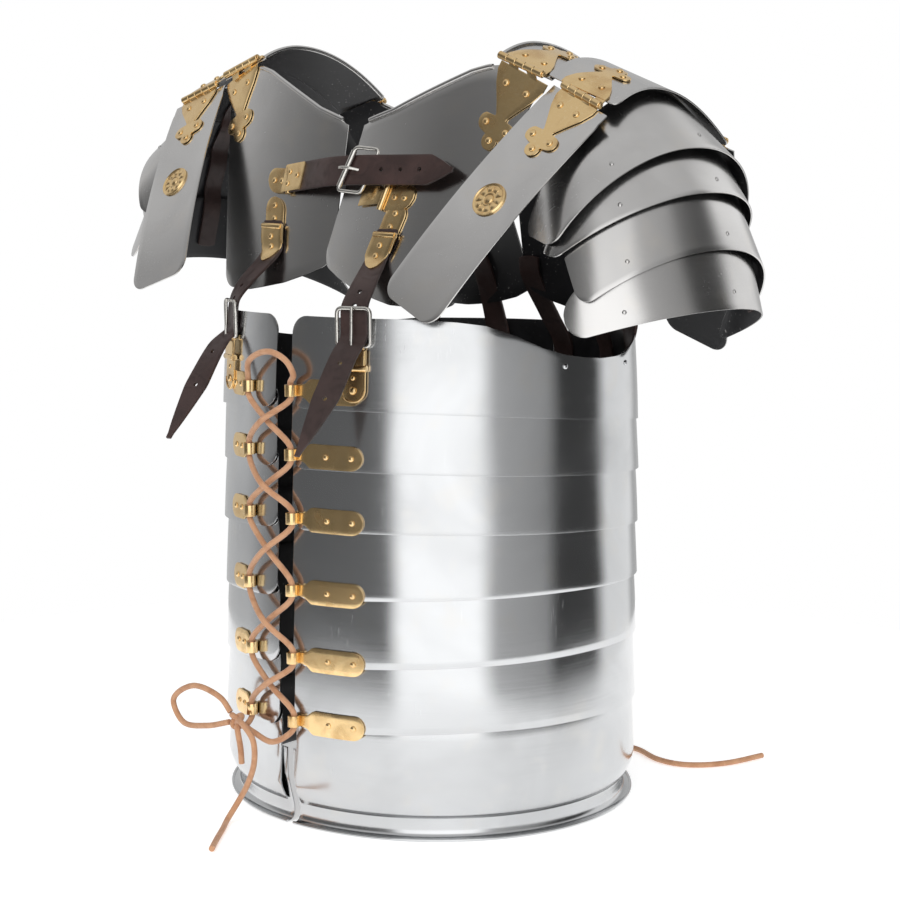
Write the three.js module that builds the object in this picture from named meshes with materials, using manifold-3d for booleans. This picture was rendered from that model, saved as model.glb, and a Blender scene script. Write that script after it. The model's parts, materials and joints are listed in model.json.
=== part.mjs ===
// Lorica segmentata: Roman plate armour of overlapping steel hoops and shoulder
// lames, hinged in brass and closed with leather straps and a leather lace.
// Millimetres, +Z up. The wearer faces -Y and the wearer's left is +X.
// The armour stands on the flared rim of its lowest hoops, on the floor at z = 0.

import * as THREE from "three";
import { mergeVertices } from "three/addons/utils/BufferGeometryUtils.js";
import Module from "manifold-3d";

const wasm = await Module();
wasm.setup();

// Driving dimensions
const STEEL = 1.2; // thickness of the steel sheet
const BRASS = 1.2; // thickness of the brass sheet
const LEATHER = 2.4; // thickness of the straps
const GAP = 0.35; // air left between two pieces that touch
const GIRDLE_HALF_WIDTH = 177; // outer half-width of the girdle, across the wearer
const GIRDLE_HALF_DEPTH = 169; // outer half-depth, front to back
const MEAN_RADIUS = 173; // turns an angle round the girdle into an arc length
const HOOP_TAPER = 0.042; // how much each hoop leans inwards, per mm of height
const HOOP_STRIP = 66; // full height of the strip that a hoop is cut from
const LEFT_FRONT_EDGE = 15; // arc from the front centre to the left hoops' edge
const RIGHT_FRONT_EDGE = 1.5; // the same for the right hoops
const BACK_EDGE = 535; // arc from the front centre to the back edge of each hoop
const CORNER = 14; // radius of the plates' rounded corners
const LEAN = 0.035; // the shoulder set sits a little lower on the wearer's left
const BARREL_RADIUS = 3; // outer radius of a hinge barrel
const LACE_RADIUS = 2.4; // round leather lace
const BUCKLE_ROD = 3; // thickness of a buckle's frame
const CENTRE_LAP = 2.6; // how far the left chest plates stand before the right ones
const ORIGIN_SHIFT = 22.9; // brings the middle of the whole depth over the origin

// The hoops from the top down. edge is the height of the lower edge at the
// girdle's axis; rise_left and rise_back tilt that edge, per mm to the wearer's
// left and to the back; loop is the height of the tie loop.
const HOOPS = [
  { name: "girth_hoop_1", edge: 320, rise_left: 0.035, rise_back: -0.091, loop: 350 },
  { name: "girth_hoop_2", edge: 277, rise_left: 0.031, rise_back: -0.068, loop: 300 },
  { name: "girth_hoop_3", edge: 230, rise_left: 0.045, rise_back: -0.058, loop: 250 },
  { name: "girth_hoop_4", edge: 181, rise_left: 0.061, rise_back: -0.025, loop: 193 },
  { name: "girth_hoop_5", edge: 130, rise_left: 0.062, rise_back: -0.005, loop: 139 },
  { name: "girth_hoop_6", edge: 76, rise_left: 0.064, rise_back: -0.02, loop: 88 },
];

// Top edge of the highest hoop: height against the angle from the front centre,
// with the scoop under the arm.
const TOP_EDGE = [
  { angle: 0, z: 408 },
  { angle: 46, z: 406 },
  { angle: 62, z: 400 },
  { angle: 74, z: 383 },
  { angle: 88, z: 375 },
  { angle: 104, z: 372 },
  { angle: 117, z: 380 },
  { angle: 132, z: 386 },
  { angle: 180, z: 387 },
];

// Wall sections of the two lowest hoops: height of the outer face and how far it
// is drawn in from the girdle's outer form. The lowest one turns out into a flat rim.
const HOOP_7_WALL = [
  { z: 17, inset: 7 },
  { z: 25, inset: 2.6 },
  { z: 34, inset: 0 },
  { z: 94, inset: 2.9 },
];
const HOOP_8_WALL = [
  { z: STEEL, inset: 1.5 },
  { z: STEEL, inset: 6.5 },
  { z: 5, inset: 9.6 },
  { z: 12, inset: 10 },
  { z: 24, inset: 7.1 },
  { z: 40, inset: 3.3 },
  { z: 62, inset: 3 },
];

// Breast and back plates: heights of the lower and upper edge against the share
// of the width, from the centre line out to the shoulder.
const BREAST_OUTLINE = [
  { share: 0, low: 446, high: 558 },
  { share: 0.2, low: 436, high: 568 },
  { share: 0.4, low: 428, high: 583 },
  { share: 0.6, low: 423, high: 598 },
  { share: 0.74, low: 420, high: 602 },
  { share: 1, low: 420, high: 586 },
];
const BACK_OUTLINE = [
  { share: 0, low: 418, high: 536 },
  { share: 0.2, low: 408, high: 542 },
  { share: 0.4, low: 402, high: 553 },
  { share: 0.6, low: 398, high: 568 },
  { share: 0.74, low: 396, high: 578 },
  { share: 1, low: 396, high: 565 },
];

// Shoulder lames from the top down. The lower edge is an arc over the arm:
// x_end and z_end where it points straight forward, x_top and z_top over the
// shoulder, reach_front and reach_back along Y; front and back are its ends in
// degrees from the top, and slant leans its front end along the upper edge.
const LAME_TOP = {
  x_end: 200, x_top: 238, z_end: 500, z_top: 586.9, reach_front: 88, reach_back: 88,
};
const LAMES = [
  {
    x_end: 235, x_top: 285, z_end: 466, z_top: 545, reach_front: 112, reach_back: 107,
    front: 88, back: 82, slant: 0,
  },
  {
    x_end: 217, x_top: 298, z_end: 453, z_top: 513, reach_front: 110, reach_back: 110,
    front: 88, back: 84, slant: 0,
  },
  {
    x_end: 232, x_top: 306, z_end: 401, z_top: 472, reach_front: 118, reach_back: 116,
    front: 66, back: 84, slant: 6,
  },
  {
    x_end: 205, x_top: 312, z_end: 387, z_top: 429, reach_front: 119, reach_back: 119,
    front: 64, back: 86, slant: 9,
  },
];
const SHOULDER_CENTRE_Y = -5;

const steel = { color: 0x9a9c9f, roughness: 0.32, metalness: 1 };
const satinSteel = { color: 0x808286, roughness: 0.45, metalness: 1 };
const brass = { color: 0xb98a3c, roughness: 0.35, metalness: 1 };
const nickel = { color: 0xb9b6ae, roughness: 0.25, metalness: 1 };
const leather = { color: 0x3a2826, roughness: 0.6, metalness: 0 };
const lace = { color: 0xb98a63, roughness: 0.8, metalness: 0 };

const armour = new THREE.Group();

// Adds one named piece with its own material.
function add(name, geometry, finish) {
  const mesh = new THREE.Mesh(geometry, new THREE.MeshStandardMaterial(finish));
  mesh.name = name;
  armour.add(mesh);
  return mesh;
}

const clamp = (v, low, high) => Math.min(high, Math.max(low, v));
const mix = (a, b, t) => a + (b - a) * t;

// Reads a value from a table of rows by straight lines between them.
function fromTable(table, key, value, column) {
  const last = table.length - 1;
  const i = clamp(table.findIndex((row) => row[key] >= value), 1, last);
  const at = value > table[last][key] ? last : i;
  const a = table[at - 1];
  const b = table[at];
  return mix(a[column], b[column], clamp((value - a[key]) / (b[key] - a[key]), 0, 1));
}

// Shoulder pieces lean: this puts a point at its place for one side (1 left, -1 right).
function shoulderPoint(side, x, y, z) {
  return new THREE.Vector3(side * x, y, z - LEAN * side * x);
}

// Outward normal of a surface at (s, a), by small steps.
function normalAt(surface, s, a) {
  const step = surface.step;
  const ds = surface.at(s + step[0], a).sub(surface.at(s - step[0], a));
  const da = surface.at(s, a + step[1]).sub(surface.at(s, a - step[1]));
  const n = ds.cross(da).normalize();
  return n.dot(surface.outward(surface.at(s, a))) < 0 ? n.negate() : n;
}

// A closed sheet cut from a surface. Each row gives s and the span of a, and
// lift moves the outer face off the surface, along its normal.
function sheet(surface, rows, { lift = 0, thickness = STEEL, across = [0, 1] } = {}) {
  const outer = [];
  const inner = [];
  for (const row of rows) {
    for (const share of across) {
      const a = mix(row.from, row.to, share);
      const point = surface.at(row.s, a);
      const n = normalAt(surface, row.s, a);
      outer.push(point.clone().addScaledVector(n, lift));
      inner.push(point.clone().addScaledVector(n, lift - thickness));
    }
  }
  return gridSolid(outer, inner, rows.length, across.length);
}

// Joins an outer and an inner grid of points into one closed body.
function gridSolid(outer, inner, rowCount, columnCount) {
  const points = [...outer, ...inner];
  const under = outer.length;
  const index = [];
  const id = (i, j) => i * columnCount + j;
  const quad = (a, b, c, d) => index.push(a, b, c, a, c, d);
  for (let i = 0; i < rowCount - 1; i++) {
    for (let j = 0; j < columnCount - 1; j++) {
      quad(id(i, j), id(i + 1, j), id(i + 1, j + 1), id(i, j + 1));
      quad(under + id(i, j), under + id(i, j + 1), under + id(i + 1, j + 1), under + id(i + 1, j));
    }
    const end = columnCount - 1;
    quad(id(i, 0), under + id(i, 0), under + id(i + 1, 0), id(i + 1, 0));
    quad(id(i, end), id(i + 1, end), under + id(i + 1, end), under + id(i, end));
  }
  for (let j = 0; j < columnCount - 1; j++) {
    const last = rowCount - 1;
    quad(id(0, j), id(0, j + 1), under + id(0, j + 1), under + id(0, j));
    quad(id(last, j), under + id(last, j), under + id(last, j + 1), id(last, j + 1));
  }
  return facingOut(points, index);
}

// Builds a geometry whose triangles face outwards.
function facingOut(points, index) {
  let volume = 0;
  for (let i = 0; i < index.length; i += 3) {
    const [a, b, c] = [points[index[i]], points[index[i + 1]], points[index[i + 2]]];
    volume += a.dot(b.clone().cross(c));
  }
  if (volume < 0) index.reverse();
  const geometry = new THREE.BufferGeometry();
  geometry.setAttribute(
    "position",
    new THREE.Float32BufferAttribute(points.flatMap((p) => p.toArray()), 3),
  );
  geometry.setIndex(index);
  geometry.computeVertexNormals();
  return geometry;
}

// Joins several closed geometries into one solid, without the specks that a
// crossing of two tubes can leave.
function union(geometries) {
  const solids = geometries.map((geometry) => {
    const bare = new THREE.BufferGeometry();
    bare.setAttribute("position", geometry.getAttribute("position").clone());
    if (geometry.index) bare.setIndex(geometry.index.clone());
    const merged = mergeVertices(bare, 1e-4);
    return new wasm.Manifold(
      new wasm.Mesh({
        numProp: 3,
        vertProperties: new Float32Array(merged.getAttribute("position").array),
        triVerts: new Uint32Array(merged.index.array),
      }),
    );
  });
  const whole = solids.reduce((a, b) => a.add(b)).decompose();
  const joined = whole.sort((a, b) => b.volume() - a.volume())[0].getMesh();
  const geometry = new THREE.BufferGeometry();
  geometry.setAttribute("position", new THREE.Float32BufferAttribute(joined.vertProperties, 3));
  geometry.setIndex([...joined.triVerts]);
  geometry.computeVertexNormals();
  return geometry;
}

// Positions along a plate of one length, with extra ones through the rounded
// corners at its ends, and how far the corner cuts in at each.
function cornerRows(from, to, count, radius) {
  const arc = [0.03, 0.25, 0.6, 1].map((t) => radius * t);
  const middle = Array.from({ length: count - 1 }, (_, i) => mix(from, to, (i + 1) / count));
  const places = [
    ...arc.map((d) => from + d),
    ...middle.filter((s) => s > from + radius * 1.3 && s < to - radius * 1.3),
    ...arc.map((d) => to - d).reverse(),
  ];
  return places.map((s) => {
    const d = Math.min(s - from, to - s);
    const cut = d < radius ? radius - Math.sqrt(radius ** 2 - (radius - d) ** 2) : 0;
    return { s, cut };
  });
}

// A smooth curve that is stepped evenly between its points, not by length, so
// that each point of the route is met.
class Route extends THREE.CatmullRomCurve3 {
  constructor(points) {
    super(points.map((p) => new THREE.Vector3(...p)), false, "centripetal");
  }
  getPointAt(u, target) {
    return this.getPoint(u, target);
  }
  getTangentAt(u, target) {
    return this.getTangent(u, target);
  }
}

// A tube of round section along a route, with some steps between its points.
function tube(points, radius, stepsBetween, sides = 8) {
  const curve = new Route(points);
  const steps = (points.length - 1) * stepsBetween;
  const section = new THREE.Shape();
  for (let i = 0; i < sides; i++) {
    const turn = (2 * Math.PI * i) / sides;
    const [x, y] = [radius * Math.cos(turn), radius * Math.sin(turn)];
    if (i === 0) section.moveTo(x, y);
    else section.lineTo(x, y);
  }
  return new THREE.ExtrudeGeometry(section, { steps, bevelEnabled: false, extrudePath: curve });
}

// A solid rod between two points.
function rod(from, to, radius, sides = 10) {
  const along = to.clone().sub(from);
  const geometry = new THREE.CylinderGeometry(radius, radius, along.length(), sides);
  geometry.applyQuaternion(
    new THREE.Quaternion().setFromUnitVectors(new THREE.Vector3(0, 1, 0), along.clone().normalize()),
  );
  const middle = from.clone().add(to).multiplyScalar(0.5);
  return geometry.translate(middle.x, middle.y, middle.z);
}

// Girdle: the outer face at an arc length from the front centre and a height,
// drawn in by inset(theta, z).
function girdleSurface(side, inset) {
  return {
    step: [0.5, 0.5],
    at(s, z) {
      const turn = s / MEAN_RADIUS;
      const drawn = inset(turn, z);
      return new THREE.Vector3(
        side * (GIRDLE_HALF_WIDTH - drawn) * Math.sin(turn),
        -(GIRDLE_HALF_DEPTH - drawn) * Math.cos(turn),
        z,
      );
    },
    outward: (p) => new THREE.Vector3(p.x, p.y, 0),
  };
}

// Height of a hoop's lower edge round the girdle.
function edgeHeight(hoop, side, turn) {
  const x = side * GIRDLE_HALF_WIDTH * Math.sin(turn);
  const y = -GIRDLE_HALF_DEPTH * Math.cos(turn);
  return hoop.edge + hoop.rise_left * x + hoop.rise_back * y;
}

function hoopSurface(hoop, side) {
  return girdleSurface(side, (turn, z) => HOOP_TAPER * (z - edgeHeight(hoop, side, turn)));
}

function buildGirdle(side, sideName, frontEdge) {
  HOOPS.forEach((hoop, number) => {
    const rows = cornerRows(frontEdge, BACK_EDGE, number === 0 ? 34 : 26, CORNER).map(({ s, cut }) => {
      const turn = s / MEAN_RADIUS;
      const low = edgeHeight(hoop, side, turn);
      const scoop = fromTable(TOP_EDGE, "angle", THREE.MathUtils.radToDeg(turn), "z");
      const high = number === 0 ? scoop : low + HOOP_STRIP;
      return { s, from: low + cut, to: high - cut };
    });
    add(`${hoop.name}_${sideName}`, sheet(hoopSurface(hoop, side), rows), steel);
  });
  const walls = [
    { name: "girth_hoop_7", wall: HOOP_7_WALL, front: frontEdge },
    { name: "girth_hoop_8", wall: HOOP_8_WALL, front: frontEdge - 5 },
  ];
  for (const { name, wall, front } of walls) {
    const places = Array.from({ length: 27 }, (_, i) => mix(front, BACK_EDGE, i / 26));
    add(`${name}_${sideName}`, wallSolid(wall, side, places), steel);
  }
}

// A hoop whose wall follows a section: outer face from the table, inner face one
// sheet thickness behind it, square to the section.
function wallSolid(wall, side, places) {
  const section = wall.map((row, i) => {
    const before = wall[Math.max(0, i - 1)];
    const after = wall[Math.min(wall.length - 1, i + 1)];
    const along = new THREE.Vector2(before.inset - after.inset, after.z - before.z).normalize();
    const inside = { inset: row.inset + STEEL * along.y, z: row.z + STEEL * along.x };
    if (row.z <= STEEL) inside.z = 0;
    return { outer: row, inside };
  });
  const surface = girdleSurface(side, (turn, z) => z);
  const place = (s, { inset, z }) => surface.at(s, inset).setZ(z);
  const outer = places.flatMap((s) => section.map((point) => place(s, point.outer)));
  const inner = places.flatMap((s) => section.map((point) => place(s, point.inside)));
  return gridSolid(outer, inner, places.length, section.length);
}

// Chest: the breast plates lie close to one leaning surface, the back plates to
// another. share runs from the centre line to the shoulder, z is the height.
function chestSurface(side, back) {
  const lift = back ? 34 : 0;
  const proud = side > 0 ? CENTRE_LAP : 0;
  return {
    step: [0.004, 0.5],
    at(share, z) {
      const t = (z + lift - 430) / 170;
      const x = mix(mix(-6, 17, t), mix(120, 186, t), share);
      const round = 5 * ((x - 65) / 70) ** 2 - 2;
      const slope = 0.3125 * (z + lift - 558);
      const y = back ? 95 - slope - round - proud : -82 + slope + round - proud;
      return shoulderPoint(side, x, y, z);
    },
    outward: () => new THREE.Vector3(0, back ? 1 : -1, 0),
  };
}

function buildChest(side, sideName) {
  const plates = [
    { name: "breastplate", outline: BREAST_OUTLINE, back: false },
    { name: "backplate", outline: BACK_OUTLINE, back: true },
  ];
  for (const { name, outline, back } of plates) {
    const width = 135;
    const rows = cornerRows(0, width, 12, 11).map(({ s, cut }) => {
      const share = s / width;
      return {
        s: share,
        from: fromTable(outline, "share", share, "low") + cut,
        to: fromTable(outline, "share", share, "high") - (share > 0.5 ? 0 : Math.min(cut, 3)),
      };
    });
    const across = [0, 0.3, 0.65, 1];
    add(`${name}_${sideName}`, sheet(chestSurface(side, back), rows, { across }), satinSteel);
  }
}

// Height of the collar over the shoulder, from front to back and outwards.
function shoulderHeight(x, y) {
  const crest = -22;
  const fall = y < crest ? 0.0068 : 0.004;
  return 619 - fall * (y - crest) ** 2 - 0.34 * (x - 139);
}

function collarSurface(side) {
  return {
    step: [0.5, 0.5],
    at: (y, x) => shoulderPoint(side, x, y, shoulderHeight(x, y)),
    outward: () => new THREE.Vector3(0, 0, 1),
  };
}

// The top guard plate stands a little off the collar over the shoulder.
function guardTopSurface(side) {
  return {
    step: [0.5, 0.5],
    at(y, x) {
      const arch = 5 * Math.cos(((y - 8) / 72) * (Math.PI / 2));
      return shoulderPoint(side, x, y, shoulderHeight(x, y) + 0.5 + arch);
    },
    outward: () => new THREE.Vector3(0, 0, 1),
  };
}

function buildCollarTop(side, sideName) {
  const rows = cornerRows(-62, 78, 9, 3).map(({ s }) => ({ s, from: 137, to: 189 }));
  add(`mid_collar_plate_${sideName}`, sheet(collarSurface(side), rows, { across: [0, 0.5, 1] }), satinSteel);
  const top = cornerRows(-58, 75, 9, 6).map(({ s, cut }) => ({ s, from: 184.5 + cut * 0.3, to: 250 - cut }));
  const across = [0, 0.35, 0.7, 1];
  add(`guard_top_${sideName}`, sheet(guardTopSurface(side), top, { lift: STEEL, across }), satinSteel);
}

// Hanging guard plates: a strip that bulges a little, hung from a hinge line.
const FRONT_GUARD = {
  hinge: [220.5, -65, 580], along: [-0.363, -0.535, -0.764], across: [0.93, -0.13, -0.345],
};
const BACK_GUARD = {
  hinge: [220.5, 81, 556.2], along: [-0.34, 0.42, -0.84], across: [0.93, 0.1, -0.33],
};
const GUARD_LENGTH = 204;
const GUARD_WIDTH = 64;
const GUARD_BULGE = 6;

function guardFrame(guard) {
  const along = new THREE.Vector3(...guard.along).normalize();
  const across = new THREE.Vector3(...guard.across);
  across.addScaledVector(along, -across.dot(along)).normalize();
  return { hinge: new THREE.Vector3(...guard.hinge), along, across, out: along.clone().cross(across) };
}

function guardSurface(side, guard) {
  const { hinge, along, across, out } = guardFrame(guard);
  const facing = out.y * (guard.hinge[1] < 0 ? -1 : 1) < 0 ? -1 : 1;
  return {
    step: [0.5, 0.5],
    at(s, a) {
      const bulge = (4 * GUARD_BULGE * s * (GUARD_LENGTH - s)) / GUARD_LENGTH ** 2;
      const p = hinge.clone().addScaledVector(along, s).addScaledVector(across, a);
      p.addScaledVector(out, facing * (bulge - 2.4));
      return shoulderPoint(side, p.x, p.y, p.z);
    },
    outward: () => shoulderPoint(side, facing * out.x, facing * out.y, facing * out.z),
  };
}

function buildGuards(side, sideName) {
  const half = GUARD_WIDTH / 2;
  for (const [name, guard] of [["guard_front", FRONT_GUARD], ["guard_back", BACK_GUARD]]) {
    const rows = cornerRows(5, GUARD_LENGTH, 9, CORNER).map(({ s, cut }) => {
      const inset = s < GUARD_LENGTH / 2 ? 0 : cut;
      return { s, from: -half + inset, to: half - inset };
    });
    add(`${name}_${sideName}`, sheet(guardSurface(side, guard), rows, { across: [0, 0.5, 1] }), satinSteel);
  }
}

// Point of a lame's edge arc at an angle from the top, negative towards the front.
function arcPoint(edge, turn) {
  const reach = turn < 0 ? edge.reach_front : edge.reach_back;
  return new THREE.Vector3(
    mix(edge.x_end, edge.x_top, Math.cos(turn)),
    SHOULDER_CENTRE_Y + reach * Math.sin(turn),
    mix(edge.z_end, edge.z_top, Math.cos(turn)),
  );
}

const LAME_OVERLAP = 0.7; // share of a lame where the next one starts, under it
const LAME_STEP_IN = 2.2; // how far the next lame's top edge lies inside

// Upper edge of each lame, worked down from the top one.
function lameUpper(number, turn) {
  if (number === 0) return arcPoint(LAME_TOP, turn);
  const upper = lameUpper(number - 1, turn);
  const lower = arcPoint(LAMES[number - 1], turn);
  const point = upper.clone().lerp(lower, LAME_OVERLAP);
  const inwards = new THREE.Vector3(-0.75 * Math.cos(turn) - 0.25, -Math.sin(turn), -0.5 * Math.cos(turn));
  return point.addScaledVector(inwards.normalize(), LAME_STEP_IN);
}

function lameSurface(side, number) {
  const slant = THREE.MathUtils.degToRad(LAMES[number].slant);
  return {
    step: [0.01, 0.01],
    at(turn, w) {
      const lean = turn < 0 ? slant * turn * turn * (1 - w) : 0;
      const p = lameUpper(number, turn - lean).lerp(arcPoint(LAMES[number], turn - lean), w);
      return shoulderPoint(side, p.x, p.y, p.z);
    },
    outward: (p) => new THREE.Vector3(p.x - side * 150, p.y - SHOULDER_CENTRE_Y, p.z - 400),
  };
}

function buildLames(side, sideName) {
  LAMES.forEach((lame, number) => {
    const reach = 115;
    const from = -THREE.MathUtils.degToRad(lame.front) * reach;
    const to = THREE.MathUtils.degToRad(lame.back) * reach;
    const surface = lameSurface(side, number);
    const rows = cornerRows(from, to, 16, CORNER).map(({ s, cut }) => {
      const turn = s / reach;
      const width = surface.at(turn, 0).distanceTo(surface.at(turn, 1));
      const inset = Math.min(0.45, cut / width);
      return { s: turn, from: inset, to: 1 - inset };
    });
    add(`shoulder_lame_${number + 1}_${sideName}`, sheet(surface, rows, { across: [0, 0.5, 1] }), satinSteel);
  });
}

// Lobed leaf of a hinge: half-width against the distance from the barrel.
const LEAF = [
  { s: 4.2, half: 21 },
  { s: 17, half: 19 },
  { s: 28, half: 10 },
  { s: 34, half: 7 },
  { s: 39, half: 13 },
  { s: 45, half: 12 },
  { s: 50, half: 6 },
  { s: 56, half: 6 },
  { s: 60, half: 1.5 },
];
const LEAF_LIFT = 0.6 + BRASS;

// One leaf on its plate, with the knuckles that belong to it along the barrel.
function hingeLeaf(surface, place, barrel, knuckles) {
  const rows = LEAF.map(({ s, half }) => ({ ...place(s, half) }));
  const parts = [sheet(surface, rows, { lift: LEAF_LIFT, thickness: BRASS, across: [0, 0.5, 1] })];
  const edge = place(LEAF[0].s + 2);
  for (const [a, b] of knuckles) {
    const from = barrel.from.clone().lerp(barrel.to, a);
    const to = barrel.from.clone().lerp(barrel.to, b);
    parts.push(rod(from, to, BARREL_RADIUS));
    parts.push(tab(from, to, surface, edge, [a, b]));
  }
  return union(parts);
}

function leafPoint(surface, edge, share) {
  const a = mix(edge.from, edge.to, share);
  return surface.at(edge.s, a).addScaledVector(normalAt(surface, edge.s, a), LEAF_LIFT - BRASS / 2);
}

// Flat tab that joins a knuckle to its leaf.
function tab(from, to, surface, edge, shares) {
  const far = shares.map((share) => leafPoint(surface, edge, share));
  const n = normalAt(surface, edge.s, mix(edge.from, edge.to, 0.5)).multiplyScalar(BRASS * 0.48);
  const corners = [from, to, ...far];
  const outer = corners.map((p) => p.clone().add(n));
  const inner = corners.map((p) => p.clone().sub(n));
  return gridSolid(outer, inner, 2, 2);
}

const WHOLE_BARREL = [[0, 1]];
const OUTER_KNUCKLES = [[0, 0.18], [0.425, 0.575], [0.82, 1]];
const INNER_KNUCKLES = [[0.22, 0.385], [0.615, 0.78]];

function buildHinges(side, sideName) {
  const chest = chestSurface(side, false);
  const collar = collarSurface(side);
  const top = guardTopSurface(side);
  const front = guardSurface(side, FRONT_GUARD);
  const chestShare = 0.885;
  const span = 135;
  const collarBarrel = {
    from: shoulderPoint(side, 140, -66, shoulderHeight(140, -66) + 4.2),
    to: shoulderPoint(side, 184, -66, shoulderHeight(184, -66) + 4.2),
  };
  const onChest = (s, half = 21) => ({
    s: 602 - s - 2,
    from: chestShare - half / span / 1.05,
    to: chestShare + half / span / 1.05,
  });
  const flipped = {
    step: [chest.step[1], chest.step[0]],
    at: (z, share) => chest.at(share, z - (share - 0.74) * 62),
    outward: chest.outward,
  };
  const onCollar = (s, half = 21) => ({ s: -66 + s, from: 162 - half, to: 162 + half });
  add(
    `collar_hinge_${sideName}`,
    union([
      hingeLeaf(flipped, onChest, collarBarrel, WHOLE_BARREL),
      hingeLeaf(collar, onCollar, collarBarrel, WHOLE_BARREL),
    ]),
    brass,
  );
  const { hinge, across } = guardFrame(FRONT_GUARD);
  const end = (reach) => {
    const p = hinge.clone().addScaledVector(across, reach);
    return shoulderPoint(side, p.x, p.y, p.z);
  };
  const guardBarrel = { from: end(-22), to: end(22) };
  const onTop = (s, half = 21) => ({ s: -63 + s * 0.8, from: 220 - half, to: 220 + half });
  const onFront = (s, half = 21) => ({ s, from: -half, to: half });
  const lifted = { ...top, at: (y, x) => top.at(y, x).add(new THREE.Vector3(0, 0, STEEL)) };
  add(`guard_hinge_top_leaf_${sideName}`, hingeLeaf(lifted, onTop, guardBarrel, OUTER_KNUCKLES), brass);
  add(`guard_hinge_front_leaf_${sideName}`, hingeLeaf(front, onFront, guardBarrel, INNER_KNUCKLES), brass);
}

// Tie loops: a brass plate riveted on the hoop, with a rolled loop at its front
// end that the lace runs through.
const LOOP_OUTER = 4.8;
const LOOP_INNER = 3.3;
const LOOP_HEIGHT = 9;
const LOOP_PLATE = 19;
const LEFT_LOOP = { ring: 19, neck: 26, end: 80 };
const RIGHT_LOOP = { ring: 31, neck: 38, end: 70 };

function buildLoops(side, sideName, loop) {
  HOOPS.forEach((hoop, number) => {
    const surface = hoopSurface(hoop, side);
    const half = LOOP_PLATE / 2;
    const spans = [
      [loop.ring + 1.5, 4.2],
      [loop.neck, 4.6],
      [loop.neck + 5, 6.5],
      [loop.neck + 11, half],
      [mix(loop.neck + 11, loop.end - 9, 1 / 3), half],
      [mix(loop.neck + 11, loop.end - 9, 2 / 3), half],
      [loop.end - 9, half],
      [loop.end - 3, half * 0.72],
      [loop.end, half * 0.25],
    ];
    const rows = spans.map(([s, reach]) => ({ s, from: hoop.loop - reach, to: hoop.loop + reach }));
    const plate = sheet(surface, rows, { lift: LEAF_LIFT, thickness: BRASS });
    const n = normalAt(surface, loop.ring, hoop.loop);
    const centre = surface.at(loop.ring, hoop.loop).addScaledVector(n, GAP + LOOP_OUTER);
    add(`tie_loop_${number + 1}_${sideName}`, union([plate, ring(centre)]), brass);
  });
}

// Upright ring that the lace passes through.
function ring(centre) {
  const profile = [
    [LOOP_INNER, -LOOP_HEIGHT / 2],
    [LOOP_OUTER, -LOOP_HEIGHT / 2],
    [LOOP_OUTER, LOOP_HEIGHT / 2],
    [LOOP_INNER, LOOP_HEIGHT / 2],
    [LOOP_INNER, -LOOP_HEIGHT / 2],
  ].map(([x, y]) => new THREE.Vector2(x, y));
  const geometry = new THREE.LatheGeometry(profile, 8);
  geometry.rotateX(Math.PI / 2);
  return geometry.translate(centre.x, centre.y, centre.z);
}

// Where the lace runs through a loop.
function loopCentre(side, number) {
  const hoop = HOOPS[number];
  const loop = side > 0 ? LEFT_LOOP : RIGHT_LOOP;
  const surface = hoopSurface(hoop, side);
  const n = normalAt(surface, loop.ring, hoop.loop);
  return surface.at(loop.ring, hoop.loop).addScaledVector(n, GAP + LOOP_OUTER);
}

// Strap laid along a list of centre points, each with the direction of its width.
// Its flat side faces the front.
function strapSurface(stations) {
  const curve = new Route(stations.map(({ centre }) => centre));
  const last = stations.length - 2;
  return {
    step: [0.002, 0.5],
    at(t, a) {
      const share = clamp(t, 0, 1);
      const place = share * (last + 1);
      const i = Math.min(last, Math.floor(place));
      const wide = stations[i].wide.clone().lerp(stations[i + 1].wide, place - i);
      return curve.getPoint(share).addScaledVector(wide, a);
    },
    outward: () => new THREE.Vector3(0, -1, 0.2),
  };
}

// Rows of a strap with one pointed end.
function strapRows(steps, half, tip) {
  return Array.from({ length: steps + 1 }, (_, i) => {
    const t = mix(0.004, 0.996, i / steps);
    const taper = t > 1 - tip ? Math.max(0.12, (1 - t) / tip) : 1;
    return { s: t, from: -half * taper, to: half * taper };
  });
}

const FRONT_STRAP_HALF = 11;
const CHEST_STRAP_HALF = 12;
const STRAP_STAND = 0.9 + LEATHER / 2; // centre of a strap off the plate it lies on
const FRONT_STRAP_SHARE = 0.5; // where it leaves the breast plate, from the centre line
const FRONT_STRAP_ARC = 73; // where it meets the top hoop, from the front centre
const FRONT_STRAP_TAIL = [[75, -167, 380], [77, -190, 346], [77, -218, 307]];
const CHEST_STRAP = [
  [-66, -100.9, 512], [-36, -105, 515], [0, -110.5, 518], [32, -111, 519], [66, -108.5, 519], [98, -106, 519],
  [128, -104, 519],
];

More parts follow.
